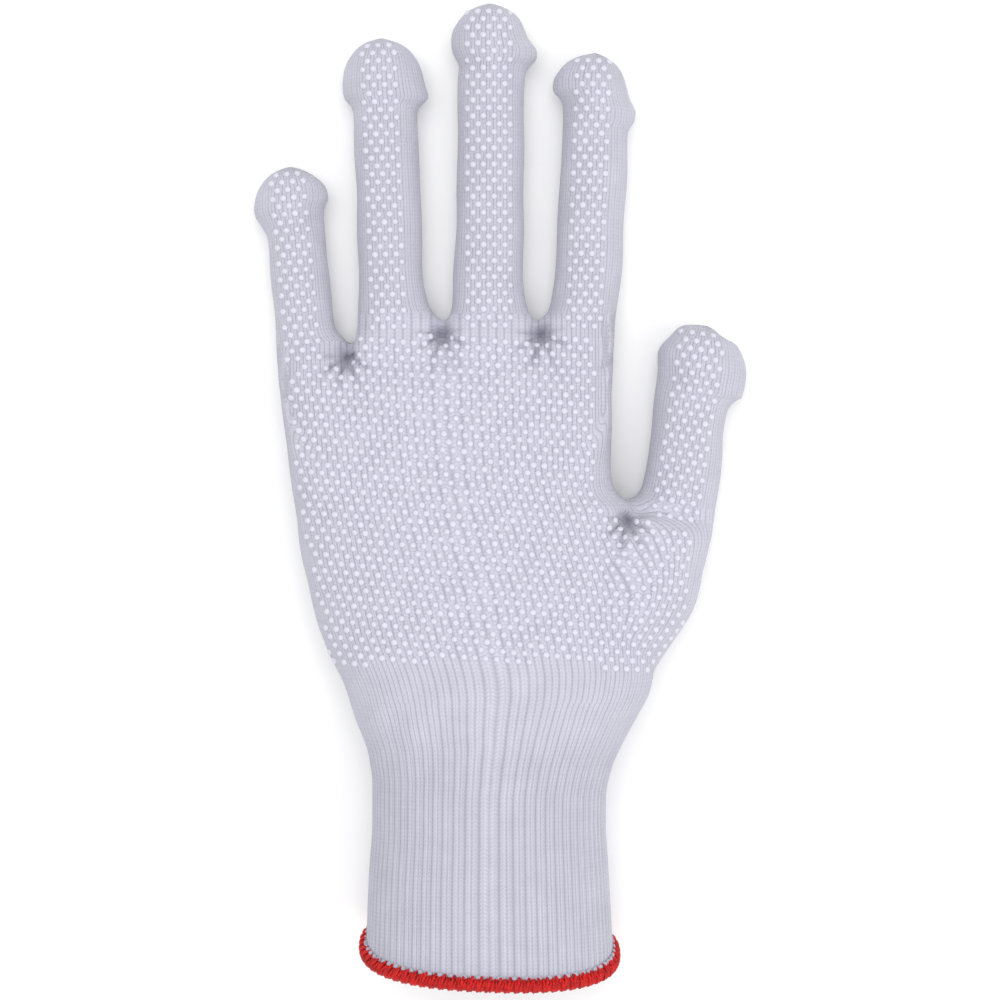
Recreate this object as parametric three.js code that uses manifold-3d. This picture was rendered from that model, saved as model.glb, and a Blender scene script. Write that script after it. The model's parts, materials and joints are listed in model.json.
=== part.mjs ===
// A right-hand seamless knitted cut resistant glove, lying on its back with its dotted palm side up.
// Millimetres. +Y runs from the wrist to the fingertips, +X to the thumb, +Z out of the palm side.
// The origin is the middle of the glove's length and width, on the surface it lies on.
import * as THREE from 'three';
import * as BufferGeometryUtils from 'three/addons/utils/BufferGeometryUtils.js';
import Module from 'manifold-3d';

const wasm = await Module();
wasm.setup();

// ---- driving dimensions ----

const GAP = 0.3;             // between neighbouring pieces
const WALL = 1.6;            // knitted wall of the hand
const DOT_HEIGHT = 0.5;      // how far the printed dots stand off the knit
const CENTRE_HEIGHT = 0.44;  // height of a section's widest line, as a share of its height
const HAND_SQUARENESS = 2.5; // exponent of the palm's and cuff's rounded sections
const DIGIT_SQUARENESS = 2.1; // the same for the digits, which are rounder
const HAND_SIDES = 32;       // points round a palm or cuff section
const DIGIT_SIDES = 16;      // points round a finger section

// The palm from the finger webs to the wrist: distance up the hand, left edge, right edge, height.
const PALM = [
  [37.0, -55.6, 28.2, 8.0],
  [31.5, -55.5, 28.4, 13.2],
  [22.5, -54.7, 28.0, 15.5],
  [5.8, -52.5, 27.9, 18.5],
  [-3.2, -51.3, 29.6, 20.0],
  [-20, -48.5, 35.0, 22.5],
  [-35, -44.6, 38.0, 25.0],
  [-48, -39.0, 36.4, 27.0],
  [-60.7, -33.6, 31.0, 28.8],
];

// The thumb's base, which grows out of the palm: centre x, centre y, direction in degrees from +Y
// towards +X, half width, height.
const THUMB_BASE = [
  [19, -43, 30, 17.0, 22],
  [25, -33, 29, 18.0, 22],
  [33, -22, 26, 17.2, 20.5],
  [39.6, -9.5, 19, 13.2, 17.5],
];

// The digits. root is on the digit's own axis, at the height of its higher web; left and right are
// how far it flares there and where that flare ends along it; knuckles are distances up the axis.
const DIGITS = [
  {
    name: 'little', root: [-48.6, 36.0], tip: [-52.7, 81.1], halfWidth: 7.3, bulb: 9.4, height: 11,
    left: { flare: 0.2, end: 0 }, right: { flare: 3.8, end: 0 },
    knuckles: [6.5, 21, 34], bends: [4.6, 5.7, 2.6],
  },
  {
    name: 'ring', root: [-27.1, 42.8], tip: [-29.7, 113.3], halfWidth: 8.05, bulb: 10.7, height: 12.2,
    left: { flare: 3.4, end: -6.8 }, right: { flare: 4.6, end: 0 },
    knuckles: [8.5, 31.4, 51.8], bends: [5.1, 6.3, 2.8],
  },
  {
    name: 'middle', root: [-2.5, 42.8], tip: [-2.6, 122.1], halfWidth: 8.4, bulb: 10.3, height: 12.6,
    left: { flare: 4.1, end: 0 }, right: { flare: 4.3, end: 0 },
    knuckles: [8.5, 35.2, 58.2], bends: [5.1, 6.4, 2.8],
  },
  {
    name: 'index', root: [21.6, 42.8], tip: [24.0, 109.6], halfWidth: 8.35, bulb: 10.4, height: 12.4,
    left: { flare: 4.3, end: 0 }, right: { flare: 0.2, end: 0 },
    knuckles: [8.5, 29.8, 49.1], bends: [5.1, 6.4, 2.8],
  },
  {
    name: 'thumb', root: [44.2, -5.2], tip: [51.3, 41.1], halfWidth: 9.1, bulb: 11, height: 13.6,
    left: { flare: 2.2, end: 2 }, right: { flare: 0.8, end: 2 },
    knuckles: [9.5, 28], bends: [4.4, 5.9],
  },
];
const FLARE_LENGTH = 5;      // how quickly a web's flare dies away up the digit
const ROOT_DEPTH = 18;       // how far a finger's stub reaches down into the palm
const ROOT_TAPER = 2.5;      // how much narrower the stub's buried end is
const BULB_LENGTH = 17;      // the fuller knitted end of a digit
const TIP_WALL = 3;          // from the hollow's end to the fingertip
const TIP_STEPS = [15, 10.5, 6.5, 3.4, 1.4, 0.25]; // sections near the end, as distances from it
const TIP_NARROWEST = 0.12;  // the last section's width over the shaft's
const TUBE_STEP = 12;        // between the sections of a straight tube
const FOLD_INSET = 0.4;      // how much thinner the knit lies where it folds
const PAST = 1;              // how far a hollow runs past its open end
const BULB_HEIGHT = 1.12;    // a bulb's height over its digit's

// The wrist and the ribbed cuff: distance up the hand, left edge, right edge, lowest, highest.
const WRIST_TOP = -60.7;
const CUFF_TOP = -79.7;
const WRIST_FOLD = [
  [WRIST_TOP - GAP, -33.5, 30.9, 0.5, 28.9],
  [-70.2, -31.9, 27.3, 0.6, 29.4],
  [CUFF_TOP + GAP, -31.5, 26.3, 0.5, 29.8],
];
const CUFF = [
  [CUFF_TOP, -31.5, 26.2, 0, 29.8],
  [-95, -32.2, 26.7, 0.8, 31.2],
  [-114.3, -32.4, 27.2, 2.6, 32.6],
];
const CUFF_WALL = 1.8;
const EDGE_DIP = 5.4;        // how much longer the cuff is on the palm side than at its sides
const EDGE_LEAN = 0.035;     // how much longer it is on the thumb side, as a slope

// The laid-in elastic yarns.
const ELASTICS = 5;
const ELASTIC_FIRST = -84;
const ELASTIC_PITCH = 5.2;
const ELASTIC_RADIUS = 0.5;
const LOOP_STEPS = 22;

// The overlocked hem's section, as (outwards, up the cuff) from the cuff's cut edge. It covers the
// outside of the wall near the edge, and the edge itself.
const HEM_EASE = 0.5;        // room for the cuff's flare inside the hem
const HEM_SECTION = [
  [1.7, 1.5],
  [HEM_EASE, 1.9],
  [HEM_EASE, -GAP],
  [-CUFF_WALL, -GAP],
  [-CUFF_WALL, -1.5],
  [-CUFF_WALL / 2, -2.3],
  [1.1, -1.4],
];

// The printed area of the palm: its outline anticlockwise from its lower left corner.
const PRINT_OUTLINE = [
  [-39.0, -42], [-15, -41.2], [4, -41.2], [22, -42.2], [37, -44], [43.5, -34], [45.6, -26],
  [43, -9], [30, -7], [25.2, 6], [25.2, 34], [-52.8, 32], [-52, 22], [-46.4, -20],
];
const PRINT_SHARE = 0.62;    // printed share of a digit's width
const PRINT_MARGIN = 0.4;    // between a strip of print and the end of its tube
const PRINT_TIP_MARGIN = 2.5;
const PRINT_FLOOR = 6;       // the print is all higher than this
const TALL = 60;             // taller than the glove

// ---- colours ----

const KNIT = { color: 0xcdcdda, roughness: 0.85 };
const PRINT = { color: 0xe4e4f0, roughness: 0.5 };
const RIB = { color: 0xcbcad8, roughness: 0.88 };
const HEM = { color: 0xc8232a, roughness: 0.7 };
const ELASTIC = { color: 0xe9e7e2, roughness: 0.6 };

// ---- shapes ----

/** One rounded section with a flat underside, as points round the Y axis of its own plane. */
function section(sides, squareness, centre, direction, left, right, low, high) {
  const across = new THREE.Vector3(Math.cos(direction), -Math.sin(direction), 0);
  const widest = low + (high - low) * CENTRE_HEIGHT;
  const points = [];
  for (let i = 0; i < sides; i += 1) {
    const angle = ((i + 0.5) / sides) * 2 * Math.PI;
    const c = Math.cos(angle);
    const s = Math.sin(angle);
    const reach = Math.sign(c) * Math.abs(c) ** (2 / squareness) * (c > 0 ? right : left);
    const rise = Math.sign(s) * Math.abs(s) ** (2 / squareness) * (high - widest);
    const point = centre.clone().addScaledVector(across, reach);
    point.z = Math.max(low, widest + rise);
    points.push(point);
  }
  return points;
}

/** A closed solid through sections of equal length, with a fan at each end. */
function loft(sections) {
  const sides = sections[0].length;
  const rings = sections.flat();
  const first = average(sections[0]);
  const last = average(sections.at(-1));
  const vertices = [...rings, first, last];
  const faces = [];
  for (let r = 0; r + 1 < sections.length; r += 1) {
    for (let i = 0; i < sides; i += 1) {
      const j = (i + 1) % sides;
      const a = r * sides + i;
      const b = r * sides + j;
      faces.push([a, b, b + sides], [a, b + sides, a + sides]);
    }
  }
  for (let i = 0; i < sides; i += 1) {
    const j = (i + 1) % sides;
    const top = (sections.length - 1) * sides;
    faces.push([rings.length, j, i], [rings.length + 1, top + i, top + j]);
  }
  return outward(vertices, faces);
}

/** A closed ring: one section carried round a loop, given as the loop's sections in order. */
function ring(sections) {
  const sides = sections[0].length;
  const count = sections.length;
  const faces = [];
  for (let r = 0; r < count; r += 1) {
    const next = ((r + 1) % count) * sides;
    for (let i = 0; i < sides; i += 1) {
      const j = (i + 1) % sides;
      faces.push([r * sides + i, r * sides + j, next + j], [r * sides + i, next + j, next + i]);
    }
  }
  return outward(sections.flat(), faces);
}

function average(points) {
  const sum = new THREE.Vector3();
  for (const point of points) {
    sum.add(point);
  }
  return sum.divideScalar(points.length);
}

/** A geometry from vertices and faces, turned so that its faces point out. */
function outward(vertices, faces) {
  let volume = 0;
  for (const [a, b, c] of faces) {
    volume += vertices[a].dot(vertices[b].clone().cross(vertices[c]));
  }
  const index = faces.flatMap(([a, b, c]) => (volume > 0 ? [a, b, c] : [a, c, b]));
  const geometry = new THREE.BufferGeometry();
  const flat = vertices.flatMap((vertex) => vertex.toArray());
  geometry.setAttribute('position', new THREE.Float32BufferAttribute(flat, 3));
  geometry.setIndex(index);
  return geometry;
}

// ---- joining and cutting ----

function toSolid(geometry) {
  const bare = geometry.clone();
  bare.deleteAttribute('normal');
  bare.deleteAttribute('uv');
  const merged = BufferGeometryUtils.mergeVertices(bare, 1e-4);
  return new wasm.Manifold(new wasm.Mesh({
    numProp: 3,
    vertProperties: merged.attributes.position.array,
    triVerts: new Uint32Array(merged.index.array),
  }));
}

function toGeometry(solid) {
  const mesh = solid.getMesh();
  const geometry = new THREE.BufferGeometry();
  geometry.setAttribute('position', new THREE.BufferAttribute(mesh.vertProperties, 3));
  geometry.setIndex(new THREE.BufferAttribute(mesh.triVerts, 1));
  return geometry;
}

function join(geometries) {
  return geometries.map(toSolid).reduce((whole, part) => whole.add(part));
}

/** A tall block over an outline, from just under the print. */
function block(outline) {
  const shape = new THREE.Shape(outline.map(([x, y]) => new THREE.Vector2(x, y)));
  const geometry = new THREE.ExtrudeGeometry(shape, { depth: TALL, bevelEnabled: false });
  return geometry.translate(0, 0, PRINT_FLOOR);
}

/** The thin printed layer that lies just over a fabric surface, within a tall block. */
function printedLayer(fabric, within) {
  const top = fabric.translate([0, 0, GAP + DOT_HEIGHT]);
  const under = fabric.translate([0, 0, GAP]);
  return toGeometry(top.intersect(within).subtract(under));
}

// ---- digits ----

/** A digit's own frame: a point on its axis, its direction, and its length. */
function axisOf(digit) {
  const root = new THREE.Vector3(digit.root[0], digit.root[1], 0);
  const tip = new THREE.Vector3(digit.tip[0], digit.tip[1], 0);
  const along = tip.clone().sub(root);
  const length = along.length();
  along.normalize();
  return { at: (s) => root.clone().addScaledVector(along, s), turn: Math.atan2(along.x, along.y), length };
}

function flareAt(side, s) {
  if (s <= side.end) {
    return side.flare;
  }
  return side.flare * Math.exp(-(((s - side.end) / FLARE_LENGTH) ** 2));
}

/** How full a digit is at s, over its shaft: 1 along the shaft, more in the bulb, less at the end. */
function fullness(digit, length, s) {
  const t = (length - s) / BULB_LENGTH;
  if (t >= 1) {
    return 1;
  }
  const swell = (digit.bulb / digit.halfWidth - 1) * Math.sin(Math.PI * Math.min(1, t)) ** 0.8;
  const round = t < 0.5 ? Math.sqrt(1 - (1 - t / 0.5) ** 2) : 1;
  return (1 + swell) * Math.max(round, TIP_NARROWEST);
}

/** One section of a digit at s, thinner by inset all round. */
function digitSection(digit, s, inset) {
  const { at, turn, length } = axisOf(digit);
  const full = fullness(digit, length, s);
  const half = digit.halfWidth * full - inset;
  const rise = digit.height * (1 + (BULB_HEIGHT - 1) * Math.min(1, Math.max(0, full - 1) * 5));
  const height = full < 1 ? digit.height * (0.35 + 0.65 * full) : rise;
  const left = half + flareAt(digit.left, s);
  const right = half + flareAt(digit.right, s);
  return section(DIGIT_SIDES, DIGIT_SQUARENESS, at(s), turn, left, right, inset, height - inset);
}

function digitLoft(digit, path, inset) {
  return loft(path.map((s) => digitSection(digit, s, inset)));
}

/** Evenly spaced stations from one distance to another, both included. */
function stations(from, to, spacing) {
  const steps = Math.max(1, Math.round((to - from) / spacing));
  return Array.from({ length: steps + 1 }, (_, i) => from + ((to - from) * i) / steps);
}

/** An open tube of the digit's knit between two distances up its axis. */
function digitTube(digit, from, to) {
  const path = stations(from, to, TUBE_STEP);
  const inner = [from - PAST, ...path.slice(1, -1), to + PAST];
  return toGeometry(toSolid(digitLoft(digit, path, 0)).subtract(toSolid(digitLoft(digit, inner, WALL))));
}

/** A soft ring of knit in the gap of a knuckle, a little thinner than the tubes on each side. */
function digitFold(digit, from, to) {
  const outside = toSolid(digitLoft(digit, [from, to], FOLD_INSET));
  const hollow = toSolid(digitLoft(digit, [from - PAST, to + PAST], WALL));
  return toGeometry(outside.subtract(hollow));
}

/** The stations of a digit's closed end, from a distance up its axis to the tip. */
function tipStations(from, length) {
  return [from, ...TIP_STEPS.map((back) => length - back).filter((s) => s > from + 1.5)];
}

/** The closed end of a digit, hollow from its open side. */
function digitTip(digit, from) {
  const { length } = axisOf(digit);
  const outer = tipStations(from, length);
  const hollow = length - TIP_WALL;
  const inner = [from - PAST, ...outer.slice(1).filter((s) => s < hollow - 1), hollow];
  return toSolid(digitLoft(digit, outer, 0)).subtract(toSolid(digitLoft(digit, inner, WALL)));
}

/** A tall block over the printed strip of a digit between two distances. */
function printStrip(digit, from, to) {
  const { at, turn } = axisOf(digit);
  const across = new THREE.Vector3(Math.cos(turn), -Math.sin(turn), 0);
  const reach = digit.halfWidth * PRINT_SHARE;
  const corner = (s, side) => {
    const point = at(s).addScaledVector(across, side * reach);
    return [point.x, point.y];
  };
  return toSolid(block([corner(from, -1), corner(from, 1), corner(to, 1), corner(to, -1)]));
}

// ---- hand and cuff ----

function bandSection([y, left, right, low, high], inset) {
  const middle = (left + right) / 2;
  const half = (right - left) / 2 - inset;
  const centre = new THREE.Vector3(middle, y, 0);
  return section(HAND_SIDES, HAND_SQUARENESS, centre, 0, half, half, low + inset, high - inset);
}

function palmLoft(inset, opening) {
  const rows = PALM.map(([y, left, right, high]) => bandSection([y, left, right, 0, high], inset));
  if (opening) {
    rows.at(-1).forEach((point) => point.setY(point.y - opening));
    rows[0].forEach((point) => point.setY(point.y - WALL));
  }
  return loft(rows);
}

function thumbBaseLoft(inset, stub) {
  const base = THUMB_BASE.map(([x, y, degrees, half, high]) => {
    const turn = THREE.MathUtils.degToRad(degrees);
    const centre = new THREE.Vector3(x, y, 0);
    const squareness = DIGIT_SQUARENESS;
    return section(DIGIT_SIDES, squareness, centre, turn, half - inset, half - inset, inset, high - inset);
  });
  return loft([...base, ...stub]);
}

/** The hand as one solid from wrist to digit stubs: its outside, or its hollow when inset. */
function handSolid(inset) {
  const opening = inset > 0 ? PAST : 0;
  const parts = [palmLoft(inset, opening)];
  for (const digit of DIGITS) {
    const end = digit.knuckles[0] - digit.bends[0] + opening;
    if (digit.name === 'thumb') {
      parts.push(thumbBaseLoft(inset, [0, 2.5, end].map((s) => digitSection(digit, s, inset))));
    } else {
      const buried = digitSection(digit, -ROOT_DEPTH, inset + ROOT_TAPER);
      const path = [-6, -2, 0, 1.5, end].map((s) => digitSection(digit, s, inset));
      parts.push(loft([buried, ...path]));
    }
  }
  return join(parts);
}

/** How far down the cuff's cut edge lies at a point of its last section. */
function edgeDrop(point, low, high) {
  const middle = (low + high) / 2;
  return EDGE_DIP * ((point.z - middle) / ((high - low) / 2)) + EDGE_LEAN * point.x;
}

/** A cuff section, whose points drop to the slanting edge as they near it. */
function cuffSection(row, inset, share) {
  const points = bandSection(row, inset);
  for (const point of points) {
    point.y -= share * edgeDrop(point, row[3], row[4]);
  }
  return points;
}

function cuffTube() {
  const shares = [0, 0.3, 1];
  const outer = CUFF.map((row, i) => cuffSection(row, 0, shares[i]));
  const inner = CUFF.map((row, i) => cuffSection(row, CUFF_WALL, shares[i]));
  inner[0].forEach((point) => point.setY(point.y + PAST));
  inner.at(-1).forEach((point) => point.setY(point.y - PAST));
  return toGeometry(toSolid(loft(outer)).subtract(toSolid(loft(inner))));
}

function wristFold() {
  const outer = WRIST_FOLD.map((row) => bandSection(row, 0));
  const inner = WRIST_FOLD.map((row) => bandSection(row, WALL));
  inner[0].forEach((point) => point.setY(point.y + PAST));
  inner.at(-1).forEach((point) => point.setY(point.y - PAST));
  return toGeometry(toSolid(loft(outer)).subtract(toSolid(loft(inner))));
}

/** The cuff's row at a distance up the hand, between the rows that shape it. */
function cuffRow(y) {
  const after = CUFF.findIndex((row) => row[0] <= y);
  const [above, below] = [CUFF[after - 1], CUFF[after]];
  const share = (above[0] - y) / (above[0] - below[0]);
  return above.map((value, i) => value + (below[i] - value) * share);
}

/** Points round a cuff row, with the direction that points out of the wall at each. */
function cuffLoop(row, inset, steps) {
  const [y, left, right, low, high] = row;
  const centre = new THREE.Vector3((left + right) / 2, y, 0);
  const half = (right - left) / 2 - inset;
  const points = section(steps, HAND_SQUARENESS, centre, 0, half, half, low + inset, high - inset);
  return points.map((point, i) => {
    const before = points.at(i - 1);
    const after = points[(i + 1) % steps];
    const run = after.clone().sub(before);
    return { point, out: new THREE.Vector3(run.z, 0, -run.x).normalize() };
  });
}

function hem() {
  const row = CUFF.at(-1);
  const sections = cuffLoop(row, 0, HAND_SIDES).map(({ point, out }) => (
    HEM_SECTION.map(([outwards, up]) => {
      const corner = point.clone().addScaledVector(out, outwards);
      corner.y += up - edgeDrop(corner, row[3], row[4]);
      return corner;
    })
  ));
  return ring(sections);
}

function elasticYarn(y) {
  const row = cuffRow(y);
  const drop = (CUFF_TOP - y) / (CUFF_TOP - CUFF.at(-1)[0]);
  const inset = CUFF_WALL + GAP + ELASTIC_RADIUS * 1.6;
  const sections = cuffLoop(row, inset, LOOP_STEPS).map(({ point, out }) => {
    const middle = point.clone();
    middle.y -= 0.5 * drop * edgeDrop(point, row[3], row[4]);
    return [0, 1, 2, 3].map((quarter) => {
      const angle = (quarter / 4) * 2 * Math.PI;
      const corner = middle.clone().addScaledVector(out, ELASTIC_RADIUS * Math.cos(angle));
      corner.y += ELASTIC_RADIUS * Math.sin(angle);
      return corner;
    });
  });
  return ring(sections);
}

// ---- the glove ----

const glove = new THREE.Group();

function addPiece(name, geometry, finish) {
  const material = new THREE.MeshStandardMaterial({ ...finish, metalness: 0 });
  geometry.computeVertexNormals();
  const mesh = new THREE.Mesh(geometry, material);
  mesh.name = name;
  glove.add(mesh);
}

const handOutside = handSolid(0);
addPiece('palm_knit', toGeometry(handOutside.subtract(handSolid(WALL))), KNIT);

const stubEnd = (digit) => digit.knuckles[0] - digit.bends[0];
const palmPrint = DIGITS.reduce(
  (whole, digit) => whole.add(printStrip(digit, -12, stubEnd(digit) - PRINT_MARGIN)),
  toSolid(block(PRINT_OUTLINE)),
);
addPiece('palm_dots', printedLayer(handOutside, palmPrint), PRINT);

const SEGMENTS = ['proximal', 'middle', 'tip'];
const FOLDS = ['root', 'middle', 'tip'];
for (const digit of DIGITS) {
  const { length } = axisOf(digit);
  const { name, knuckles, bends } = digit;
  const last = knuckles.length - 1;
  const segments = last === 2 ? SEGMENTS : ['proximal', 'tip'];
  const folds = last === 2 ? FOLDS : ['root', 'tip'];
  knuckles.forEach((knuckle, i) => {
    const from = knuckle + bends[i];
    const to = i < last ? knuckles[i + 1] - bends[i + 1] : length;
    addPiece(`${name}_${folds[i]}_fold`, digitFold(digit, knuckle - bends[i] + GAP, from - GAP), KNIT);
    const tube = i < last ? digitTube(digit, from, to) : toGeometry(digitTip(digit, from));
    addPiece(`${name}_${segments[i]}`, tube, KNIT);
    const path = i < last ? stations(from, to, TUBE_STEP) : tipStations(from, length);
    const printEnd = i < last ? to - PRINT_MARGIN : length - PRINT_TIP_MARGIN;
    const strip = printStrip(digit, from + PRINT_MARGIN, printEnd);
    const layer = printedLayer(toSolid(digitLoft(digit, path, 0)), strip);
    addPiece(`${name}_${segments[i]}_dots`, layer, PRINT);
  });
}

addPiece('wrist_fold', wristFold(), KNIT);
addPiece('cuff_knit', cuffTube(), RIB);
for (let i = 0; i < ELASTICS; i += 1) {
  addPiece(`cuff_elastic_${i + 1}`, elasticYarn(ELASTIC_FIRST - i * ELASTIC_PITCH), ELASTIC);
}
addPiece('cuff_hem', hem(), HEM);

export default glove;
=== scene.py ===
"""A right-hand seamless knitted cut resistant glove: knit, printed grip dots, ribbed cuff and hem.

The glove lies on its back. Inside the script, shapes are worked out in millimetres in the frame's own
axes: +Y towards the fingertips, +X towards the thumb, +Z out of the palm. Meshes are in metres.
"""

import json
import math

import bmesh
import bpy
import numpy as np
from bpy.props import FloatProperty, FloatVectorProperty, IntProperty, PointerProperty
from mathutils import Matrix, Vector
from mathutils.bvhtree import BVHTree


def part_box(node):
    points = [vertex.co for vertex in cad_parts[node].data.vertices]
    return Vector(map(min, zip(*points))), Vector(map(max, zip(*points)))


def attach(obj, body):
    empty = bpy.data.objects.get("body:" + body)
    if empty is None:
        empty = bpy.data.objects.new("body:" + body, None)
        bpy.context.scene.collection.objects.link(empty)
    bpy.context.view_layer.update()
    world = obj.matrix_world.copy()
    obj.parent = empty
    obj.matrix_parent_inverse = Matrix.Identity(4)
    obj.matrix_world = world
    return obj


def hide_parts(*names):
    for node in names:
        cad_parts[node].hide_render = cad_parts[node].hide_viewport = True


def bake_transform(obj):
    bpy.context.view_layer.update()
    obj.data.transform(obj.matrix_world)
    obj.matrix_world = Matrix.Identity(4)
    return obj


bl_info = {
    "name": "Knitted Work Glove",
    "version": (1, 0, 0),
    "blender": (4, 5, 0),
    "location": "View3D > Sidebar > Glove",
    "description": "Knit, grip dots, ribbed cuff, overlocked hem and elastic of a work glove",
    "category": "Add Mesh",
}

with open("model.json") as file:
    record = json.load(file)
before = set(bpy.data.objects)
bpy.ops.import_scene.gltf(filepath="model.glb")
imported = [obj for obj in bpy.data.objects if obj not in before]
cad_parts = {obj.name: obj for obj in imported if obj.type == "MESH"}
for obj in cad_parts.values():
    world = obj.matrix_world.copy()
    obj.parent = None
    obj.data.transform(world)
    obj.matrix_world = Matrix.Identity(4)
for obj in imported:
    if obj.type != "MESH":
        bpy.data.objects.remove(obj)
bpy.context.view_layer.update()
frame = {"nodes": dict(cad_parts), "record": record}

MM = 0.001
JOINTS = {joint["name"]: joint for joint in frame["record"]["behaviour"]["joints"]}
WRIST = JOINTS["wrist_bend"]

# ---- shape of the glove, in millimetres ----

# Each digit's outline: (distance down from the fingertip, half width) on its little-finger side and
# its thumb side. The bulb at the end is fuller than the shaft, and stops at a small lip. Its other
# sizes: the shaft's height, half the length of cloth that bends at each joint, where its printed rows
# start and end across it, and the knit columns round it.
DIGITS = {
    "little": {
        "left": [(0, 0), (1.2, 4), (3.2, 6.8), (7, 9.2), (10.8, 10), (14.5, 8.4), (18.1, 7.2), (32, 7.2),
                 (46, 7.5), (62, 7.6)],
        "right": [(0, 0), (1.2, 3.8), (3.2, 6.6), (6.5, 8.8), (8.8, 9), (10.8, 7.7), (12, 7.35), (20, 7.35),
                  (32, 7.3), (39.2, 7.4), (43.2, 8.3), (45.3, 11.2), (62, 12)],
        "height": 11.2, "reach": (6.0, 7.0, 5.0), "print": (-5.9, 4.6), "wales": 54,
    },
    "ring": {
        "left": [(0, 0), (1.2, 4.2), (3.5, 7.2), (8, 9.7), (13.2, 10.4), (15.5, 9.7), (16.8, 8.3), (21, 7.8),
                 (42.5, 7.7), (60.3, 8), (71.3, 8.5), (76, 9.6), (77.2, 11), (77.6, 12.5), (92, 12.5)],
        "right": [(0, 0), (1.2, 4.2), (3.5, 7.2), (8, 9.8), (12.5, 10.8), (15.2, 11.4), (16.4, 10.8),
                  (17.1, 8.8), (20.8, 8.3), (46.8, 8.4), (58.3, 8.05), (65.3, 8.7), (69.3, 10.3),
                  (70.3, 11.9), (70.7, 13.6), (92, 13.6)],
        "height": 12.4, "reach": (7.3, 10.0, 6.0), "print": (-5.9, 4.4), "wales": 60,
    },
    "middle": {
        "left": [(0, 0), (1.2, 4), (3.5, 7), (8.7, 9.7), (11.5, 9.7), (14, 8.6), (15.2, 7.7), (18.8, 7.9),
                 (38, 8.1), (55.5, 8.5), (67, 9.1), (75, 9.6), (78.4, 10.4), (79.3, 11.6), (79.7, 12.8),
                 (98, 12.8)],
        "right": [(0, 0), (1.2, 4), (3.5, 7.5), (9.5, 10), (12.4, 11.9), (14.9, 11.3), (15.8, 9.4),
                  (18.8, 8.8), (38, 8.5), (55.5, 8.4), (67, 8.25), (73.2, 8.7), (77.4, 9.5), (79, 10.6),
                  (79.6, 12.6), (98, 12.6)],
        "height": 12.8, "reach": (7.3, 10.0, 6.0), "print": (-6.3, 5.8), "wales": 60,
    },
    "index": {
        "left": [(0, 0), (1.2, 4.6), (3.5, 8), (8.4, 10.6), (10, 10.6), (11.2, 8.9), (13.3, 7.9), (17, 7.7),
                 (25.8, 7.7), (38.8, 8.1), (54.6, 8.3), (61.6, 8.8), (65.3, 9.7), (66.6, 11.2),
                 (67.1, 13), (85, 13)],
        "right": [(0, 0), (1.2, 3.2), (4.3, 6.4), (11.6, 8.9), (14.8, 10.8), (17.4, 10.3), (19, 8.9),
                  (30, 8.85), (43, 8.7), (54.6, 8.45), (69.5, 7.25), (85, 6.6)],
        "height": 12.6, "reach": (7.3, 10.0, 6.0), "print": (-6.0, 4.6), "wales": 60,
    },
    "thumb": {
        "left": [(0, 0), (0.9, 5.7), (3.8, 8.1), (8.2, 10.7), (13.7, 9.84), (21.2, 9.7), (27.7, 9.2),
                 (35, 9.1), (41.7, 9.4), (44.1, 10), (45.8, 11.5), (46.4, 13), (46.9, 15), (58, 15)],
        "right": [(0, 0), (0.3, 1.8), (2, 4.6), (3.7, 8.6), (11.8, 12.3), (16.9, 11.9), (17.7, 10.25),
                  (21.2, 8.9), (26.2, 8.8), (33, 9.3), (40.3, 9.67), (49.3, 9.8), (58, 10.5)],
        "height": 13.8, "reach": (7.8, 7.5), "print": (-6.4, 5.2), "wales": 64,
    },
}
SEGMENTS = {3: ("proximal", "middle", "tip"), 2: ("proximal", "tip")}
FOLDS = {3: ("root", "middle", "tip"), 2: ("root", "tip")}
STUB_RISE = 12.0       # how far below its web a finger's height becomes the palm's
STUB_LENGTH = 18.0     # how far a finger's root runs on inside the palm
STUB_ROUNDING = 2.4    # how much rounder its section is there
STUB_SLIM = 2.0        # and how much it is drawn in on each side
STUB_SINK = 2.5        # how far a buried end lies under the surface around it
THUMB_STUB = 3.0       # how far the thumb runs on inside its base
BULB_LENGTH = 16.0     # how far a digit's fuller end reaches down from its tip
BULB_RISE = 1.07       # the bulb's height, over the shaft's
EAR_THINNING = 0.4     # how much more pointed the bulb's sides are than the shaft's
END_ROUND = 7.0        # the length over which the end of a digit rounds off

# The palm and cuff: (distance up the hand, edge or height), without the thumb on the right side.
PALM_LEFT = [(37.5, -55.9), (22.5, -54.75), (15, -53.9), (5.5, -52.5), (-2.7, -51.5), (-12, -50),
             (-20, -48.6), (-26.7, -47), (-35, -44.75), (-48, -39), (-57.7, -35.4), (-65, -32.6),
             (-73, -31.5), (-82, -31.5), (-95.5, -32.3), (-110, -32.8), (-125, -33.2)]
PALM_RIGHT = [(37.5, 28.6), (22.5, 28), (7, 27.75), (1.5, 28.3), (-1.2, 29.5), (-2.7, 31.4), (-3.8, 34.5),
              (-12, 37), (-24, 38.5), (-36, 38.6), (-44, 38.4), (-49.2, 37.4), (-56, 34), (-62, 30.7),
              (-69.2, 27.5), (-75.5, 26.2), (-81.2, 26.1), (-93.2, 26.7), (-112, 27.7), (-125, 28.2)]
PALM_HEIGHT = [(44, 12.2), (31, 13.4), (22.5, 15.5), (6, 18.5), (-3, 20), (-20, 22.5), (-35, 25),
               (-48, 27), (-60.7, 28.8), (-80, 29.8), (-95, 31.2), (-114, 32.6), (-125, 33)]
PALM_TOP = 34.5        # where the palm's own form ends inside the finger roots
PALM_FADE = 6.0        # the length over which it sinks there
PALM_LOW = [(40, 0), (-80, 0), (-95, 0.8), (-114, 2.6), (-125, 3.2)]
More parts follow.
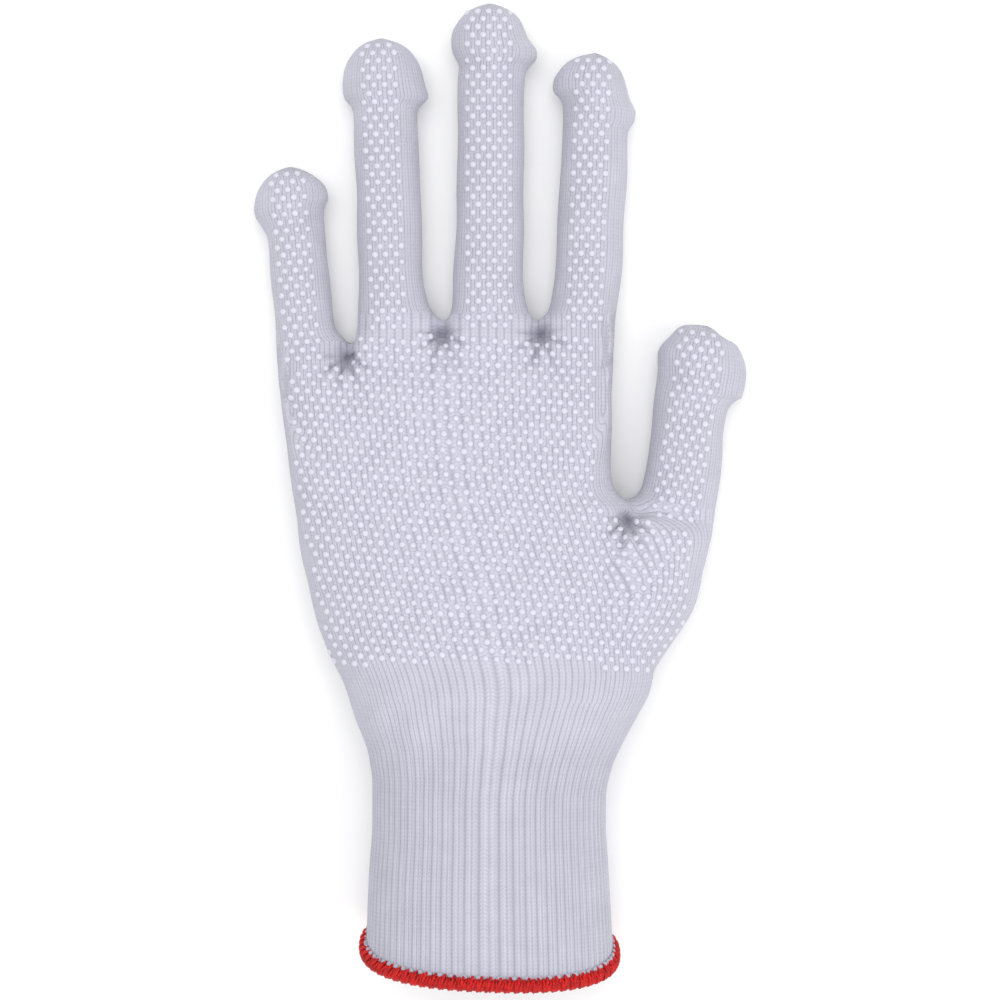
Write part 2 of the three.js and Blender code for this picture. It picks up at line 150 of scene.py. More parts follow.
# The right edge that the palm's wales follow, which the crotch of the thumb doesn't disturb.
WALE_RIGHT = [(44, 28.6), (6, 28.4), (-12, 33), (-28, 37.6), *(row for row in PALM_RIGHT if row[0] < -40)]
# The thumb's base: centre x, y, direction from +Y towards +X in degrees, half width, height.
THUMB_BASE = [(19, -43, 30, 17.0, 22), (25, -33, 29, 18.0, 22), (33, -22, 26, 17.2, 20.5),
              (37.2, -14.5, 21, 14.6, 18.8), (39.9, -9.2, 16, 13.2, 17.2)]
CENTRE_HEIGHT = 0.44   # height of a section's widest line, over its height
UNDERSIDE = 1.25       # how much fuller a section is below that line, before it lies flat
# How square the sections are: 2 is an oval, and more is nearer to a box.
HAND_SQUARE = 2.5
KNUCKLE_SQUARE = 2.0   # added where the fingers begin
DIGIT_SQUARE = 2.1
ROOT_SQUARE = 2.2      # added at a digit's root

COURSE = 0.95          # between the knit's courses
OFF_FLOOR = 0.02       # the least height of anything over the floor
# The wales run straight up the flat middle of the palm. The middle's share of the half width, low down
# and where the fingers begin:
FLAT_SHARE = 0.6
FLAT_SHARE_AT_FINGERS = 0.92
SAME_SIDE = 1.5        # the largest angle, in radians, over which two ways of counting wales are mixed
SEAM_Y = -52.0         # where the hand's skin meets the ribbed part
RIB_GROWTH = 20.0      # the length over which the ribs reach their full depth
EDGE_DIP = 5.4         # how much longer the cuff is on the palm side than at its sides
EDGE_LEAN = 0.035      # how far the edge drops for each millimetre across
EDGE_Y = -114.3        # the cut edge, at the middle of the cuff's sides
SLANT_START = -78.0    # where the rounds of the cuff begin to slant towards its edge
SLANT_CURVE = 1.3
SEAM_MATCH = 14.0      # the length over which the ribbed part takes up the hand's shape
RIB_STEP = 1.3         # between the rings of the ribbed part
WRIST_REACH = 17.0     # half the length of the knit that bends at the wrist
CUT_REACH = 3.0        # how far from a cut across a digit its faces may lie
CUT_WIDTH = 15.0       # and how far to either side
SIDE_MARGIN = 1.4      # how far past its outline a digit's faces may lie

# The pits where the knit gathers below each crotch: x, y, radius, depth.
PUCKERS = [(-38.3, 33.2, 2.3, 3.0), (-14.5, 39.0, 2.3, 3.0), (10.2, 39.0, 2.4, 3.0), (31.6, -7.4, 2.1, 2.4)]
CREASES = 9            # creases round a pit
CREASE_TURN = 0.9      # the direction of the first one
CREASE_HEIGHT = 0.5

# The printed area of the palm, anticlockwise from its lower left corner.
PRINT_AREA = [(-41.5, -43.2), (-15, -42.0), (4, -41.7), (22, -43.0), (38.5, -45.4), (45.6, -33), (47.2, -26),
              (47.5, -12), (45.0, -3.5), (33, -6.5), (26.5, -6), (23.6, 0), (23.4, 43.5), (-53.0, 39),
              (-50.6, 6), (-46.6, -20)]


# ---- colours ----

def srgb(text):
    """An sRGB hex value as three channels from 0 to 1."""
    return tuple(int(text[i:i + 2], 16) / 255 for i in (0, 2, 4))


def linear(channels):
    """An sRGB colour as a linear one with alpha."""
    lit = [c / 12.92 if c <= 0.04045 else ((c + 0.055) / 1.055) ** 2.4 for c in channels]
    return (*lit, 1.0)


# ---- properties a user would change ----

class GloveSizes(bpy.types.PropertyGroup):
    """Sizes of the knit and of what is put on it."""

    wall: FloatProperty(
        name="Wall", description="Thickness of the knit", default=1.1 * MM, unit="LENGTH")
    voxel: FloatProperty(
        name="Skin detail", description="Size of the hand's faces", default=0.72 * MM, unit="LENGTH")
    dot_width: FloatProperty(
        name="Dot width", description="Width of a printed dot", default=1.7 * MM, unit="LENGTH")
    dot_height: FloatProperty(
        name="Dot height", description="How far a dot stands off the knit", default=0.55 * MM, unit="LENGTH")
    dot_pitch: FloatProperty(
        name="Dot pitch", description="Between dots in a row", default=2.66 * MM, unit="LENGTH")
    dot_row: FloatProperty(
        name="Dot row", description="Between rows of dots", default=2.0 * MM, unit="LENGTH")
    wales: IntProperty(
        name="Wales", description="Knit columns round the hand", default=140, min=20)
    rib_depth: FloatProperty(
        name="Rib depth", description="Height of the cuff's ribs", default=0.3 * MM, unit="LENGTH")
    thread: FloatProperty(
        name="Hem thread", description="Radius of the overlock thread", default=0.42 * MM, unit="LENGTH")
    hem_out: FloatProperty(
        name="Hem thickness", description="Half the hem's thickness", default=1.85 * MM, unit="LENGTH")
    hem_along: FloatProperty(
        name="Hem width", description="Half the hem's width", default=1.8 * MM, unit="LENGTH")


class GloveColours(bpy.types.PropertyGroup):
    """Colours of the yarns, with the painted shade of the knit's gaps and pits, the print and the floor, as
    sRGB.
    """

    yarn: FloatVectorProperty(
        name="Yarn", description="Lit yarn of the hand", subtype="COLOR_GAMMA", size=3,
        default=srgb("C3C3D0"))
    # Painted shade: the darker colour given to the gaps between the knit's loops and to the wales that lie
    # back.
    gap_shade_yarn: FloatVectorProperty(
        name="Yarn gaps", description="Between the knit's loops", subtype="COLOR_GAMMA", size=3,
        default=srgb("9E9EAC"))
    # Painted shade: the dark colour given to the yarn deep in a crotch's pit and in the troughs of its
    # creases.
    painted_pit_shade: FloatVectorProperty(
        name="Yarn in pits", description="Where the knit gathers at a crotch", subtype="COLOR_GAMMA", size=3,
        default=srgb("666675"))
    dots: FloatVectorProperty(
        name="Dots", description="Printed grip dots", subtype="COLOR_GAMMA", size=3,
        default=srgb("D0D0DD"))
    thread: FloatVectorProperty(
        name="Hem thread", description="Overlock thread", subtype="COLOR_GAMMA", size=3,
        default=srgb("B30505"))
    elastic: FloatVectorProperty(
        name="Elastic", description="Covered elastic yarn", subtype="COLOR_GAMMA", size=3,
        default=srgb("E0DED6"))
    floor: FloatVectorProperty(
        name="Floor", description="Plain pale floor", subtype="COLOR_GAMMA", size=3,
        default=srgb("F7F7F7"))


# ---- numbers and curves ----

def smooth_line(points, at):
    """A smooth line without overshoot through (x, y) points, read at these x."""
    points = sorted(points)
    x = np.array([p[0] for p in points], float)
    y = np.array([p[1] for p in points], float)
    step = np.diff(x)
    slope = np.diff(y) / step
    m = np.zeros(len(x))
    m[0], m[-1] = slope[0], slope[-1]
    same = slope[:-1] * slope[1:] > 0
    w1, w2 = 2 * step[1:] + step[:-1], step[1:] + 2 * step[:-1]
    safe = np.where(same, slope[:-1] * slope[1:], 1.0)
    m[1:-1] = np.where(same, (w1 + w2) * safe / (w1 * slope[1:] + w2 * slope[:-1]), 0.0)
    at = np.clip(np.asarray(at, float), x[0], x[-1])
    i = np.clip(np.searchsorted(x, at) - 1, 0, len(step) - 1)
    t = (at - x[i]) / step[i]
    h = step[i]
    return ((1 + 2 * t) * (1 - t) ** 2 * y[i] + t * (1 - t) ** 2 * h * m[i]
            + t * t * (3 - 2 * t) * y[i + 1] + t * t * (t - 1) * h * m[i + 1])


def smoothstep(low, high, value):
    """A smooth rise from 0 at low to 1 at high."""
    t = np.clip((np.asarray(value, float) - low) / (high - low), 0, 1)
    return t * t * (3 - 2 * t)


class Digit:
    """A finger or the thumb, measured from its root joint along its own axis, in millimetres."""

    def __init__(self, name):
        self.name = name
        self.shape = DIGITS[name]
        count = len(self.shape["reach"])
        self.folds = FOLDS[count]
        self.bodies = ["hand", *(f"{name}_{part}" for part in SEGMENTS[count])]
        joints = [JOINTS[f"{name}_{fold}_bend"] for fold in self.folds]
        self.pivots = [np.array(joint["pos_m"]) / MM for joint in joints]
        x, y, _ = joints[0]["axis"]
        self.across = np.array([x, y, 0.0])
        self.along = np.array([-y, x, 0.0])
        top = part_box(f"{name}_tip")[1][1] / MM
        self.length = (top - self.pivots[0][1]) / self.along[1] + 0.15
        self.at = [float((pivot - self.pivots[0]) @ self.along) for pivot in self.pivots]
        reach = self.shape["reach"]
        ends = [at + r for at, r in zip(self.at, reach)]
        starts = [at - r for at, r in zip(self.at, reach)]
        self.cuts = [starts[0], *((a + b) / 2 for a, b in zip(ends, starts[1:])), self.length + 5]

    def local(self, points):
        """(up the axis, across it, height) of points."""
        offset = points - self.pivots[0] * [1, 1, 0]
        return offset @ self.along, offset @ self.across, points[:, 2]

    def halves(self, s):
        """Half widths on the two sides at a distance up the axis."""
        down = self.length - np.asarray(s, float)
        return smooth_line(self.shape["left"], down), smooth_line(self.shape["right"], down)

    def heights(self, s):
        """Lowest, widest and highest line at a distance up the axis."""
        s = np.asarray(s, float)
        down = self.length - s
        bulb = 1 + (BULB_RISE - 1) * (1 - smoothstep(BULB_LENGTH - 3, BULB_LENGTH + 1, down))
        top = self.shape["height"] * bulb
        if self.name != "thumb":
            palm = smooth_line(PALM_HEIGHT, self.pivots[0][1] + s * self.along[1])
            web = self.cuts[0]
            top = top + (palm - top) * (1 - smoothstep(web - STUB_RISE, web, s))
            top = top - STUB_SINK * (1 - smoothstep(web - STUB_LENGTH, web - STUB_RISE, s))
        middle = top * CENTRE_HEIGHT
        full = np.sqrt(1 - (1 - np.clip(down / END_ROUND, 0.02, 1)) ** 2)
        return middle * (1 - full), middle, middle + (top - middle) * full


def rounded_section(sides, square, centre, across, left, right, low, middle, high):
    """Points of one section with a flat underside, in millimetres."""
    angle = (np.arange(sides) + 0.5) / sides * 2 * math.pi
    c, s = np.cos(angle), np.sin(angle)
    reach = np.sign(c) * np.abs(c) ** (2 / square) * np.where(c > 0, right, left)
    rise = np.sign(s) * np.abs(s) ** (2 / square)
    under = middle + rise * (middle - low) * UNDERSIDE
    z = np.where(s > 0, middle + rise * (high - middle), np.maximum(low, under))
    points = np.asarray(centre, float)[None, :] + reach[:, None] * np.asarray(across)[None, :]
    points[:, 2] = z
    return points


def hand_row(y):
    """Left edge, right edge, lowest and highest line of the hand and cuff at a height up the hand."""
    return (smooth_line(PALM_LEFT, y), smooth_line(PALM_RIGHT, y),
            smooth_line(PALM_LOW, y), smooth_line(PALM_HEIGHT, y))


def hand_angle(points):
    """The angle of points round the hand's section, for its wales."""
    y = np.minimum(points[:, 1], PALM_TOP)
    left, _, low, high = hand_row(y)
    right = smooth_line(WALE_RIGHT, y)
    middle = low + (high - low) * CENTRE_HEIGHT
    across = (points[:, 0] - (left + right) / 2) / ((right - left) / 2)
    up = points[:, 2] - middle
    up = up / np.where(up > 0, high - middle, (middle - low) * UNDERSIDE)
    power = HAND_SQUARE / 2
    sideways = np.sign(across) * np.abs(across) ** power
    turned = np.arctan2(np.sign(up) * np.abs(up) ** power, sideways)
    # Over the flat middle the wales go by the width alone, whatever the height there.
    level = np.arccos(np.clip(sideways, -1, 1)) * np.where(up > 0, 1, -1)
    start = FLAT_SHARE + (FLAT_SHARE_AT_FINGERS - FLAT_SHARE) * smoothstep(0, 20, points[:, 1])
    edge = smoothstep(0, 1, (np.abs(across) - start) / (0.98 - start))
    near = np.abs(turned - level) < SAME_SIDE
    return np.where(near, level + (turned - level) * edge, turned)


# ---- meshes ----

def lofted(sections):
    """Vertices and faces of a closed loft with a fan at each end."""
    sides = len(sections[0])
    rings = np.concatenate(sections)
    vertices = np.concatenate([rings, [sections[0].mean(0)], [sections[-1].mean(0)]])
    faces = ring_faces(len(sections), sides)
    last = (len(sections) - 1) * sides
    for i in range(sides):
        j = (i + 1) % sides
        faces.append((len(rings), j, i))
        faces.append((len(rings) + 1, last + i, last + j))
    return vertices, faces


def ring_faces(rings, sides, closed=False):
    """The faces between rings of points, and from the last back to the first in a closed round."""
    faces = []
    for r in range(rings if closed else rings - 1):
        for i in range(sides):
            j = (i + 1) % sides
            here, after = r * sides, (r + 1) % rings * sides
            faces.append((here + i, here + j, after + j, after + i))
    return faces


def new_object(name, vertices, faces, scale=MM):
    """A mesh object in the scene, from vertices in millimetres unless scale says otherwise."""
    mesh = bpy.data.meshes.new(name)
    mesh.from_pydata((np.asarray(vertices) * scale).tolist(), [], [tuple(f) for f in faces])
    mesh.validate()
    piece = bpy.data.objects.new(name, mesh)
    bpy.context.scene.collection.objects.link(piece)
    return piece


def turned_out(piece):
    """The piece with all its faces pointing outwards."""
    mesh = bmesh.new()
    mesh.from_mesh(piece.data)
    bmesh.ops.recalc_face_normals(mesh, faces=mesh.faces)
    mesh.to_mesh(piece.data)
    mesh.free()
    return piece


def applied(piece):
    """The piece with its modifiers' result as its plain mesh."""
    bpy.context.view_layer.update()
    graph = bpy.context.evaluated_depsgraph_get()
    result = bpy.data.meshes.new_from_object(piece.evaluated_get(graph), depsgraph=graph)
    piece.modifiers.clear()
    piece.data = result
    result.name = piece.name
    return piece


def coordinates(mesh):
    """The mesh's points, in millimetres."""
    flat = np.empty(len(mesh.vertices) * 3)
    mesh.vertices.foreach_get("co", flat)
    return flat.reshape(-1, 3) / MM


def set_coordinates(mesh, points):
    """Moves the mesh's points to these, in millimetres."""
    mesh.vertices.foreach_set("co", (np.asarray(points) * MM).ravel())
    mesh.update()


def write_knit(piece, wale, course, wales):
    """The knit's own map: wales across and courses along, unbroken where the wales close on themselves."""
    mesh = piece.data
    layer = mesh.uv_layers.get("knit") or mesh.uv_layers.new(name="knit")
    loops = np.empty(len(mesh.loops), int)
    mesh.loops.foreach_get("vertex_index", loops)
    u = wale[loops].copy()
    starts = np.empty(len(mesh.polygons), int)
    totals = np.empty(len(mesh.polygons), int)
    mesh.polygons.foreach_get("loop_start", starts)
    mesh.polygons.foreach_get("loop_total", totals)
    highest = np.maximum.reduceat(u, starts)
    lowest = np.minimum.reduceat(u, starts)
    wraps = np.repeat(highest - lowest > wales / 2, totals)
    u[wraps & (u < wales / 2)] += wales
    layer.data.foreach_set("uv", np.stack([u, course[loops]], 1).ravel())


def write_amount(piece, name, values):
    """A named amount from 0 to 1 at each point of the piece."""
    layer = piece.data.attributes.new(name, "FLOAT", "POINT")
    layer.data.foreach_set("value", np.asarray(values, np.float32))


def pit_shade_amount(points):
    """How much painted shade each point gets in a crotch's pit and in the troughs of its creases, from 0 to
    1.
    """
    amount = np.zeros(len(points))
    for x, y, radius, _ in PUCKERS:
        away, creased = crotch(points, x, y, radius)
        amount += 0.95 * np.exp(-(away / (0.75 * radius)) ** 2) + np.maximum(0, -CREASE_HEIGHT * creased)
    return np.minimum(amount, 1) * smoothstep(4, 8, points[:, 2])


def walled(piece, wall):
    """The piece with its thickness inwards, and crisp rims where it meets its neighbours."""
    solid = piece.modifiers.new("wall", "SOLIDIFY")
    solid.thickness = wall
    solid.offset = -1
    solid.use_rim = True
    applied(piece)
    mesh = piece.data
    mesh.shade_smooth()
    mesh.set_sharp_from_angle(angle=math.radians(55))
    return piece


# ---- nodes ----

def add_node(tree, kind, settings=None, inputs=None):
    """One node, with its settings and with values or links for its inputs."""
    node = tree.nodes.new(kind)
    for key, value in (settings or {}).items():
        setattr(node, key, value)
    for key, value in (inputs or {}).items():
        socket = node.inputs[key]
        if isinstance(value, bpy.types.NodeSocket):
            tree.links.new(value, socket)
        else:
            socket.default_value = value
    return node


def new_material(name):
    """An empty node material and its tree."""
    material = bpy.data.materials.new(name)
    material.use_nodes = True
    material.node_tree.nodes.clear()
    return material, material.node_tree


def maths(tree, operation, *values):
    """The result of a Math node."""
    node = add_node(tree, "ShaderNodeMath", {"operation": operation}, dict(enumerate(values)))
    return node.outputs[0]


def noise(tree, place, scale, detail):
    """Soft unevenness over the object."""
    values = {"Vector": place, "Scale": scale, "Detail": detail}
    return add_node(tree, "ShaderNodeTexNoise", None, values).outputs[0]


def finish_material(tree, colour, normal, **values):
    """Principled surface and output, with plain values on its own sockets."""
    inputs = {"Base Color": colour, "Normal": normal, **values}
    shader = add_node(tree, "ShaderNodeBsdfPrincipled", None, inputs)
    add_node(tree, "ShaderNodeOutputMaterial", None, {"Surface": shader.outputs[0]})


# Noise scales are features to the metre. The yarn's fuzz is half a millimetre across, which is coarser
# than real filament, so that it shows.
FUZZ = 1900.0
UNEVEN_YARN = 160.0    # 6 mm patches, where the knit is a little slacker or tighter
CLOUDY_PRINT = 420.0   # 2.4 mm, so that neighbouring dots differ a little
TWIST = 900.0          # 1.1 mm to a turn of thread
BLOTCH = 700.0         # 1.4 mm
MOTTLE = 30.0          # 33 mm


def knit_material(name, colours, ribbed):
    """Fine jersey or rib knit of filament yarn, machine knitted: columns of V-shaped loops, matt, with a
    faint sheen at grazing angles. Painted shade darkens the gaps between the loops, and the yarn in pits and
    creases."""
    material, tree = new_material(name)
    map_node = add_node(tree, "ShaderNodeUVMap", {"uv_map": "knit"})
    parts = add_node(tree, "ShaderNodeSeparateXYZ", None, {0: map_node.outputs[0]})
    wale = maths(tree, "FRACT", parts.outputs[0])
    # The two legs of each loop lean together, so the courses rise towards the middle of a wale.
    lean = maths(tree, "ABSOLUTE", maths(tree, "SUBTRACT", wale, 0.5))
    course = maths(tree, "ADD", parts.outputs[1], maths(tree, "MULTIPLY", lean, 1.3))
    turn = maths(tree, "MULTIPLY", course, 2 * math.pi)
    ridge = maths(tree, "MULTIPLY_ADD", maths(tree, "COSINE", turn), 0.5, 0.5)
    leg_turn = maths(tree, "MULTIPLY", wale, 2 * math.pi)
    leg = maths(tree, "POWER", maths(tree, "ABSOLUTE", maths(tree, "SINE", leg_turn)), 0.7)
    loop = maths(tree, "MULTIPLY", leg, maths(tree, "MULTIPLY_ADD", ridge, 0.6, 0.4))
    column = maths(tree, "MULTIPLY_ADD", maths(tree, "COSINE", leg_turn), -0.5, 0.5)
    height = maths(tree, "ADD", maths(tree, "MULTIPLY", loop, 0.6), maths(tree, "MULTIPLY", column, 0.4))
    # Every second wale lies back a little between its neighbours, and far back in the rib.
    pair = maths(tree, "MULTIPLY", parts.outputs[0], math.pi)
    forward = maths(tree, "MULTIPLY_ADD", maths(tree, "COSINE", pair), 0.5, 0.5)
    rib = add_node(tree, "ShaderNodeAttribute", {"attribute_name": "rib"}).outputs["Fac"]
    amount = maths(tree, "MULTIPLY_ADD", rib, 0.3, 0.12) if ribbed else 0.12
    behind = maths(tree, "MULTIPLY", maths(tree, "SUBTRACT", 1.0, forward), amount)
    height = maths(tree, "SUBTRACT", height, behind)
    place = add_node(tree, "ShaderNodeTexCoord").outputs["Object"]
    fuzz = noise(tree, place, FUZZ, 3.0)
    uneven = noise(tree, place, UNEVEN_YARN, 5.0)
    height = maths(tree, "MULTIPLY_ADD", fuzz, 0.35, height)
    # Painted shade: the low parts of the knit's relief, the gaps between loops and the wales that lie back,
    # take the darker gap colour; the patches of unevenness add random tone.
    shade = maths(tree, "MULTIPLY_ADD", uneven, 0.5, maths(tree, "SUBTRACT", height, 0.25))
    yarn = add_node(tree, "ShaderNodeMix", {"data_type": "RGBA", "clamp_factor": True}, {
        0: shade, 6: linear(colours.gap_shade_yarn), 7: linear(colours.yarn)})
    # Painted shade: deep in the crotches' pits and creases the yarn is mixed towards a dark colour.
    pit_shade = add_node(tree, "ShaderNodeAttribute", {"attribute_name": "pit_shade"}).outputs["Fac"]
    deep = add_node(tree, "ShaderNodeMix", {"data_type": "RGBA"}, {
        0: pit_shade, 6: yarn.outputs[2], 7: linear(colours.painted_pit_shade)})
    bump = add_node(tree, "ShaderNodeBump", None, {"Height": height, "Strength": 0.8, "Distance": 0.25 * MM})
    finish_material(tree, deep.outputs[2], bump.outputs[0], **{
        "Roughness": 0.82, "IOR": 1.5, "Specular IOR Level": 0.25, "Sheen Weight": 0.25,
        "Sheen Roughness": 0.5})
    return material


def dot_material(name, colours):
    """Soft PVC, screen printed and gelled: smooth satin domes, almost white, that soften the light."""
    material, tree = new_material(name)
    place = add_node(tree, "ShaderNodeTexCoord").outputs["Object"]
    cloudy = noise(tree, place, CLOUDY_PRINT, 2.0)
    tint = add_node(tree, "ShaderNodeMix", {"data_type": "RGBA"}, {
        0: cloudy, 6: linear([c * 0.93 for c in colours.dots]), 7: linear(colours.dots)})
    bump = add_node(tree, "ShaderNodeBump", None, {
        "Height": cloudy, "Strength": 0.3, "Distance": 0.05 * MM})
    finish_material(tree, tint.outputs[2], bump.outputs[0], **{
        "Roughness": 0.42, "IOR": 1.53})
    return material


def thread_material(name, colour, gap_shade_and_blotch, light):
    """Spun polyester sewing thread, dyed: fuzzy twisted strands, with a painted highlight on the tops of the
    twist, painted shade in its deep gaps, and random blotches.
    """
    material, tree = new_material(name)
    place = add_node(tree, "ShaderNodeTexCoord").outputs["Object"]
    twist = add_node(tree, "ShaderNodeTexWave", {"bands_direction": "DIAGONAL"}, {
        "Vector": place, "Scale": TWIST, "Distortion": 3.0, "Detail": 2.0})
    blotch = noise(tree, place, BLOTCH, 3.0)
    patches = maths(tree, "MULTIPLY", blotch, 0.8)
    mixed = maths(tree, "MULTIPLY_ADD", twist.outputs[1], 0.4, patches)
    # Painted highlight and shade: the colour runs from dark in the twist's gaps to light on its tops, mixed
    # with random darker and lighter blotches.
    ramp = add_node(tree, "ShaderNodeValToRGB", None, {0: mixed})
    ramp.color_ramp.elements[0].color = gap_shade_and_blotch
    ramp.color_ramp.elements[0].position = 0.25
    ramp.color_ramp.elements[1].color = light
    ramp.color_ramp.elements[1].position = 0.95
    middle = ramp.color_ramp.elements.new(0.55)
    middle.color = colour
    bump = add_node(tree, "ShaderNodeBump", None, {"Height": mixed, "Strength": 0.7, "Distance": 0.12 * MM})
    finish_material(tree, ramp.outputs[0], bump.outputs[0], **{
        "Roughness": 0.5, "IOR": 1.45, "Specular IOR Level": 0.35})
    return material


def floor_material(colours):
    """A plain matt painted board, faintly mottled."""
    material, tree = new_material("painted_board")
    place = add_node(tree, "ShaderNodeTexCoord").outputs["Object"]
    mottle = noise(tree, place, MOTTLE, 2.0)
    tint = add_node(tree, "ShaderNodeMix", {"data_type": "RGBA"}, {
        0: mottle, 6: linear([c * 0.995 for c in colours.floor]), 7: linear(colours.floor)})
    bump = add_node(tree, "ShaderNodeBump", None, {
        "Height": mottle, "Strength": 0.02, "Distance": 0.1 * MM})
    finish_material(tree, tint.outputs[2], bump.outputs[0], **{
        "Roughness": 0.9, "Specular IOR Level": 0.1})
    return material


def shared_material(name, make):
    """One material for all pieces of a finish."""
    return bpy.data.materials.get(name) or make(name)


# ---- the hand's skin ----

def digit_loft(digit):
    """A digit from inside the palm to its rounded end."""
    root = digit.cuts[0]
    buried = root - (THUMB_STUB if digit.name == "thumb" else STUB_LENGTH)
    down = np.concatenate([[0.1, 0.35, 0.8, 1.5, 2.4, 3.6], np.arange(5, digit.length - buried, 1.3)])
    sections = []
    for s in digit.length - down[::-1]:
        left, right = digit.halves(s)
        low, middle, high = digit.heights(s)
        centre = digit.pivots[0] * [1, 1, 0] + digit.along * s
        square = DIGIT_SQUARE + ROOT_SQUARE * (1 - smoothstep(root - 9, root - 1, s))
        # Its buried end is rounder and slimmer, so it comes out of the palm's edge without a step.
        hidden = 0.0 if digit.name == "thumb" else 1 - smoothstep(buried, root - 9, s)
        square -= STUB_ROUNDING * hidden
        left -= STUB_SLIM * hidden
        right -= STUB_SLIM * hidden
        low += STUB_SINK * hidden
        middle = max(middle, low + 1)
        # The ears beside a fingertip are thin, and the end itself is round.
        square -= EAR_THINNING * smoothstep(3, 9, digit.length - s) * (
            1 - smoothstep(BULB_LENGTH - 1, BULB_LENGTH + 3, digit.length - s))
        sections.append(rounded_section(
            48, square, centre, digit.across, left, right, low, middle, high))
    return lofted(sections)


def palm_loft():
    """The palm and the upper cuff, without the thumb's base."""
    sections = []
    for y in np.arange(-90, PALM_TOP + 0.1, 1.5):
        left, right, low, high = hand_row(y)
        high = high - STUB_SINK * smoothstep(PALM_TOP - PALM_FADE, PALM_TOP, y)
        middle = low + (high - low) * CENTRE_HEIGHT
        half = (right - left) / 2
        square = HAND_SQUARE + KNUCKLE_SQUARE * smoothstep(-8, 26, y)
        sections.append(rounded_section(
            120, square, ((left + right) / 2, y, 0), (1, 0, 0), half, half, low, middle, high))
    return lofted(sections)


def thumb_base_loft(thumb):
    """The thumb's base, from inside the palm to the thumb's root."""
    rows = [(x, y, math.radians(d), half, half, high) for x, y, d, half, high in THUMB_BASE]
    turn = math.atan2(thumb.along[0], thumb.along[1])
    for s in (-10.5, -7.5):
        left, right = thumb.halves(s)
        centre = thumb.pivots[0] + thumb.along * s
        rows.append((centre[0], centre[1], turn, left, right, thumb.shape["height"]))
    rows = np.array(rows)
    knots = np.arange(len(rows))
    sections = []
    for k in np.linspace(0, len(rows) - 1, 40):
        x, y, angle, left, right, high = [smooth_line(list(zip(knots, rows[:, c])), k) for c in range(6)]
        across = (math.cos(angle), -math.sin(angle), 0)
        sections.append(rounded_section(
            64, DIGIT_SQUARE, (x, y, 0), across, left, right, 0, high * CENTRE_HEIGHT, high))
    return lofted(sections)


def crotch(points, x, y, radius):
    """How far points are from a crotch's pit, and the creases that run out from it down the palm."""
    dx, dy = points[:, 0] - x, points[:, 1] - y
    away = np.hypot(dx, dy * 0.8)
    angle = np.arctan2(dy, dx)
    ripple = np.cos(CREASES * angle + CREASE_TURN) * np.exp(-((away - 1.6 * radius) / (1.2 * radius)) ** 2)
    return away, ripple * smoothstep(0.4 * radius, 1.1 * radius, away) * smoothstep(2.5, -1, dy)


def gathered(points, normals):
    """Points of the skin with the pits and creases of each crotch, and the cloth's slight unevenness."""
    shift = np.zeros(len(points))
    for x, y, radius, depth in PUCKERS:
        away, creased = crotch(points, x, y, radius)
        shift -= depth * np.exp(-(away / radius) ** 2)
        shift += CREASE_HEIGHT * creased
    x, y, z = points.T
    shift += 0.16 * np.sin(0.21 * x + 0.13 * y + 1.0) * np.sin(0.17 * y - 0.09 * x)
    shift += 0.10 * np.sin(0.43 * x - 0.29 * y + 0.4 * z + 2.0)
    lift = smoothstep(0.2, 2.5, z)
    return points + normals * (shift * lift)[:, None]


def hand_skin(sizes):
    """The hand's whole outside as one mesh, with digits and palm grown together."""
    digits = [Digit(name) for name in DIGITS]
    lofts = [palm_loft(), thumb_base_loft(digits[-1]), *(digit_loft(digit) for digit in digits)]
    vertices, faces = [], []
    for points, polygons in lofts:
        faces += [tuple(i + len(vertices) for i in polygon) for polygon in polygons]
        vertices += points.tolist()
    skin = turned_out(new_object("hand_skin", vertices, faces))
    grown = skin.modifiers.new("grown_together", "REMESH")
    grown.mode = "VOXEL"
    grown.voxel_size = sizes.voxel
    relaxed = skin.modifiers.new("relaxed", "SMOOTH")
    relaxed.factor = 0.5
    relaxed.iterations = 3
    applied(skin)
    mesh = skin.data
    normals = np.empty(len(mesh.vertices) * 3)
    mesh.vertices.foreach_get("normal", normals)
    points = gathered(coordinates(mesh), normals.reshape(-1, 3))
    points[:, 2] = np.maximum(points[:, 2], OFF_FLOOR)
    set_coordinates(mesh, points)
    return skin, digits


def cut_skin(skin, digits):
    """Cuts the skin across each digit and the wrist. Returns its points and faces, in millimetres."""
    mesh = bmesh.new()
    mesh.from_mesh(skin.data)
    for digit in digits:
        for cut in digit.cuts[:-1]:
            place = Vector((digit.pivots[0] * [1, 1, 0] + digit.along * cut) * MM)
            near = []
            for face in mesh.faces:
                offset = face.calc_center_median() - place
                up, aside = offset.dot(Vector(digit.along)), offset.dot(Vector(digit.across))
                if abs(up) < CUT_REACH * MM and abs(aside) < CUT_WIDTH * MM:
                    near.append(face)
            edges = {edge for face in near for edge in face.edges}
            points = {point for face in near for point in face.verts}
            bmesh.ops.bisect_plane(
                mesh, geom=[*near, *edges, *points], dist=1e-6, plane_co=place, plane_no=Vector(digit.along))
    bmesh.ops.bisect_plane(
        mesh, geom=[*mesh.faces, *mesh.edges, *mesh.verts], dist=1e-6,
        plane_co=(0, SEAM_Y * MM, 0), plane_no=(0, 1, 0))
    mesh.verts.index_update()
    points = np.array([point.co for point in mesh.verts]) / MM
    faces = [[point.index for point in face.verts] for face in mesh.faces]
    mesh.free()
    return points, faces


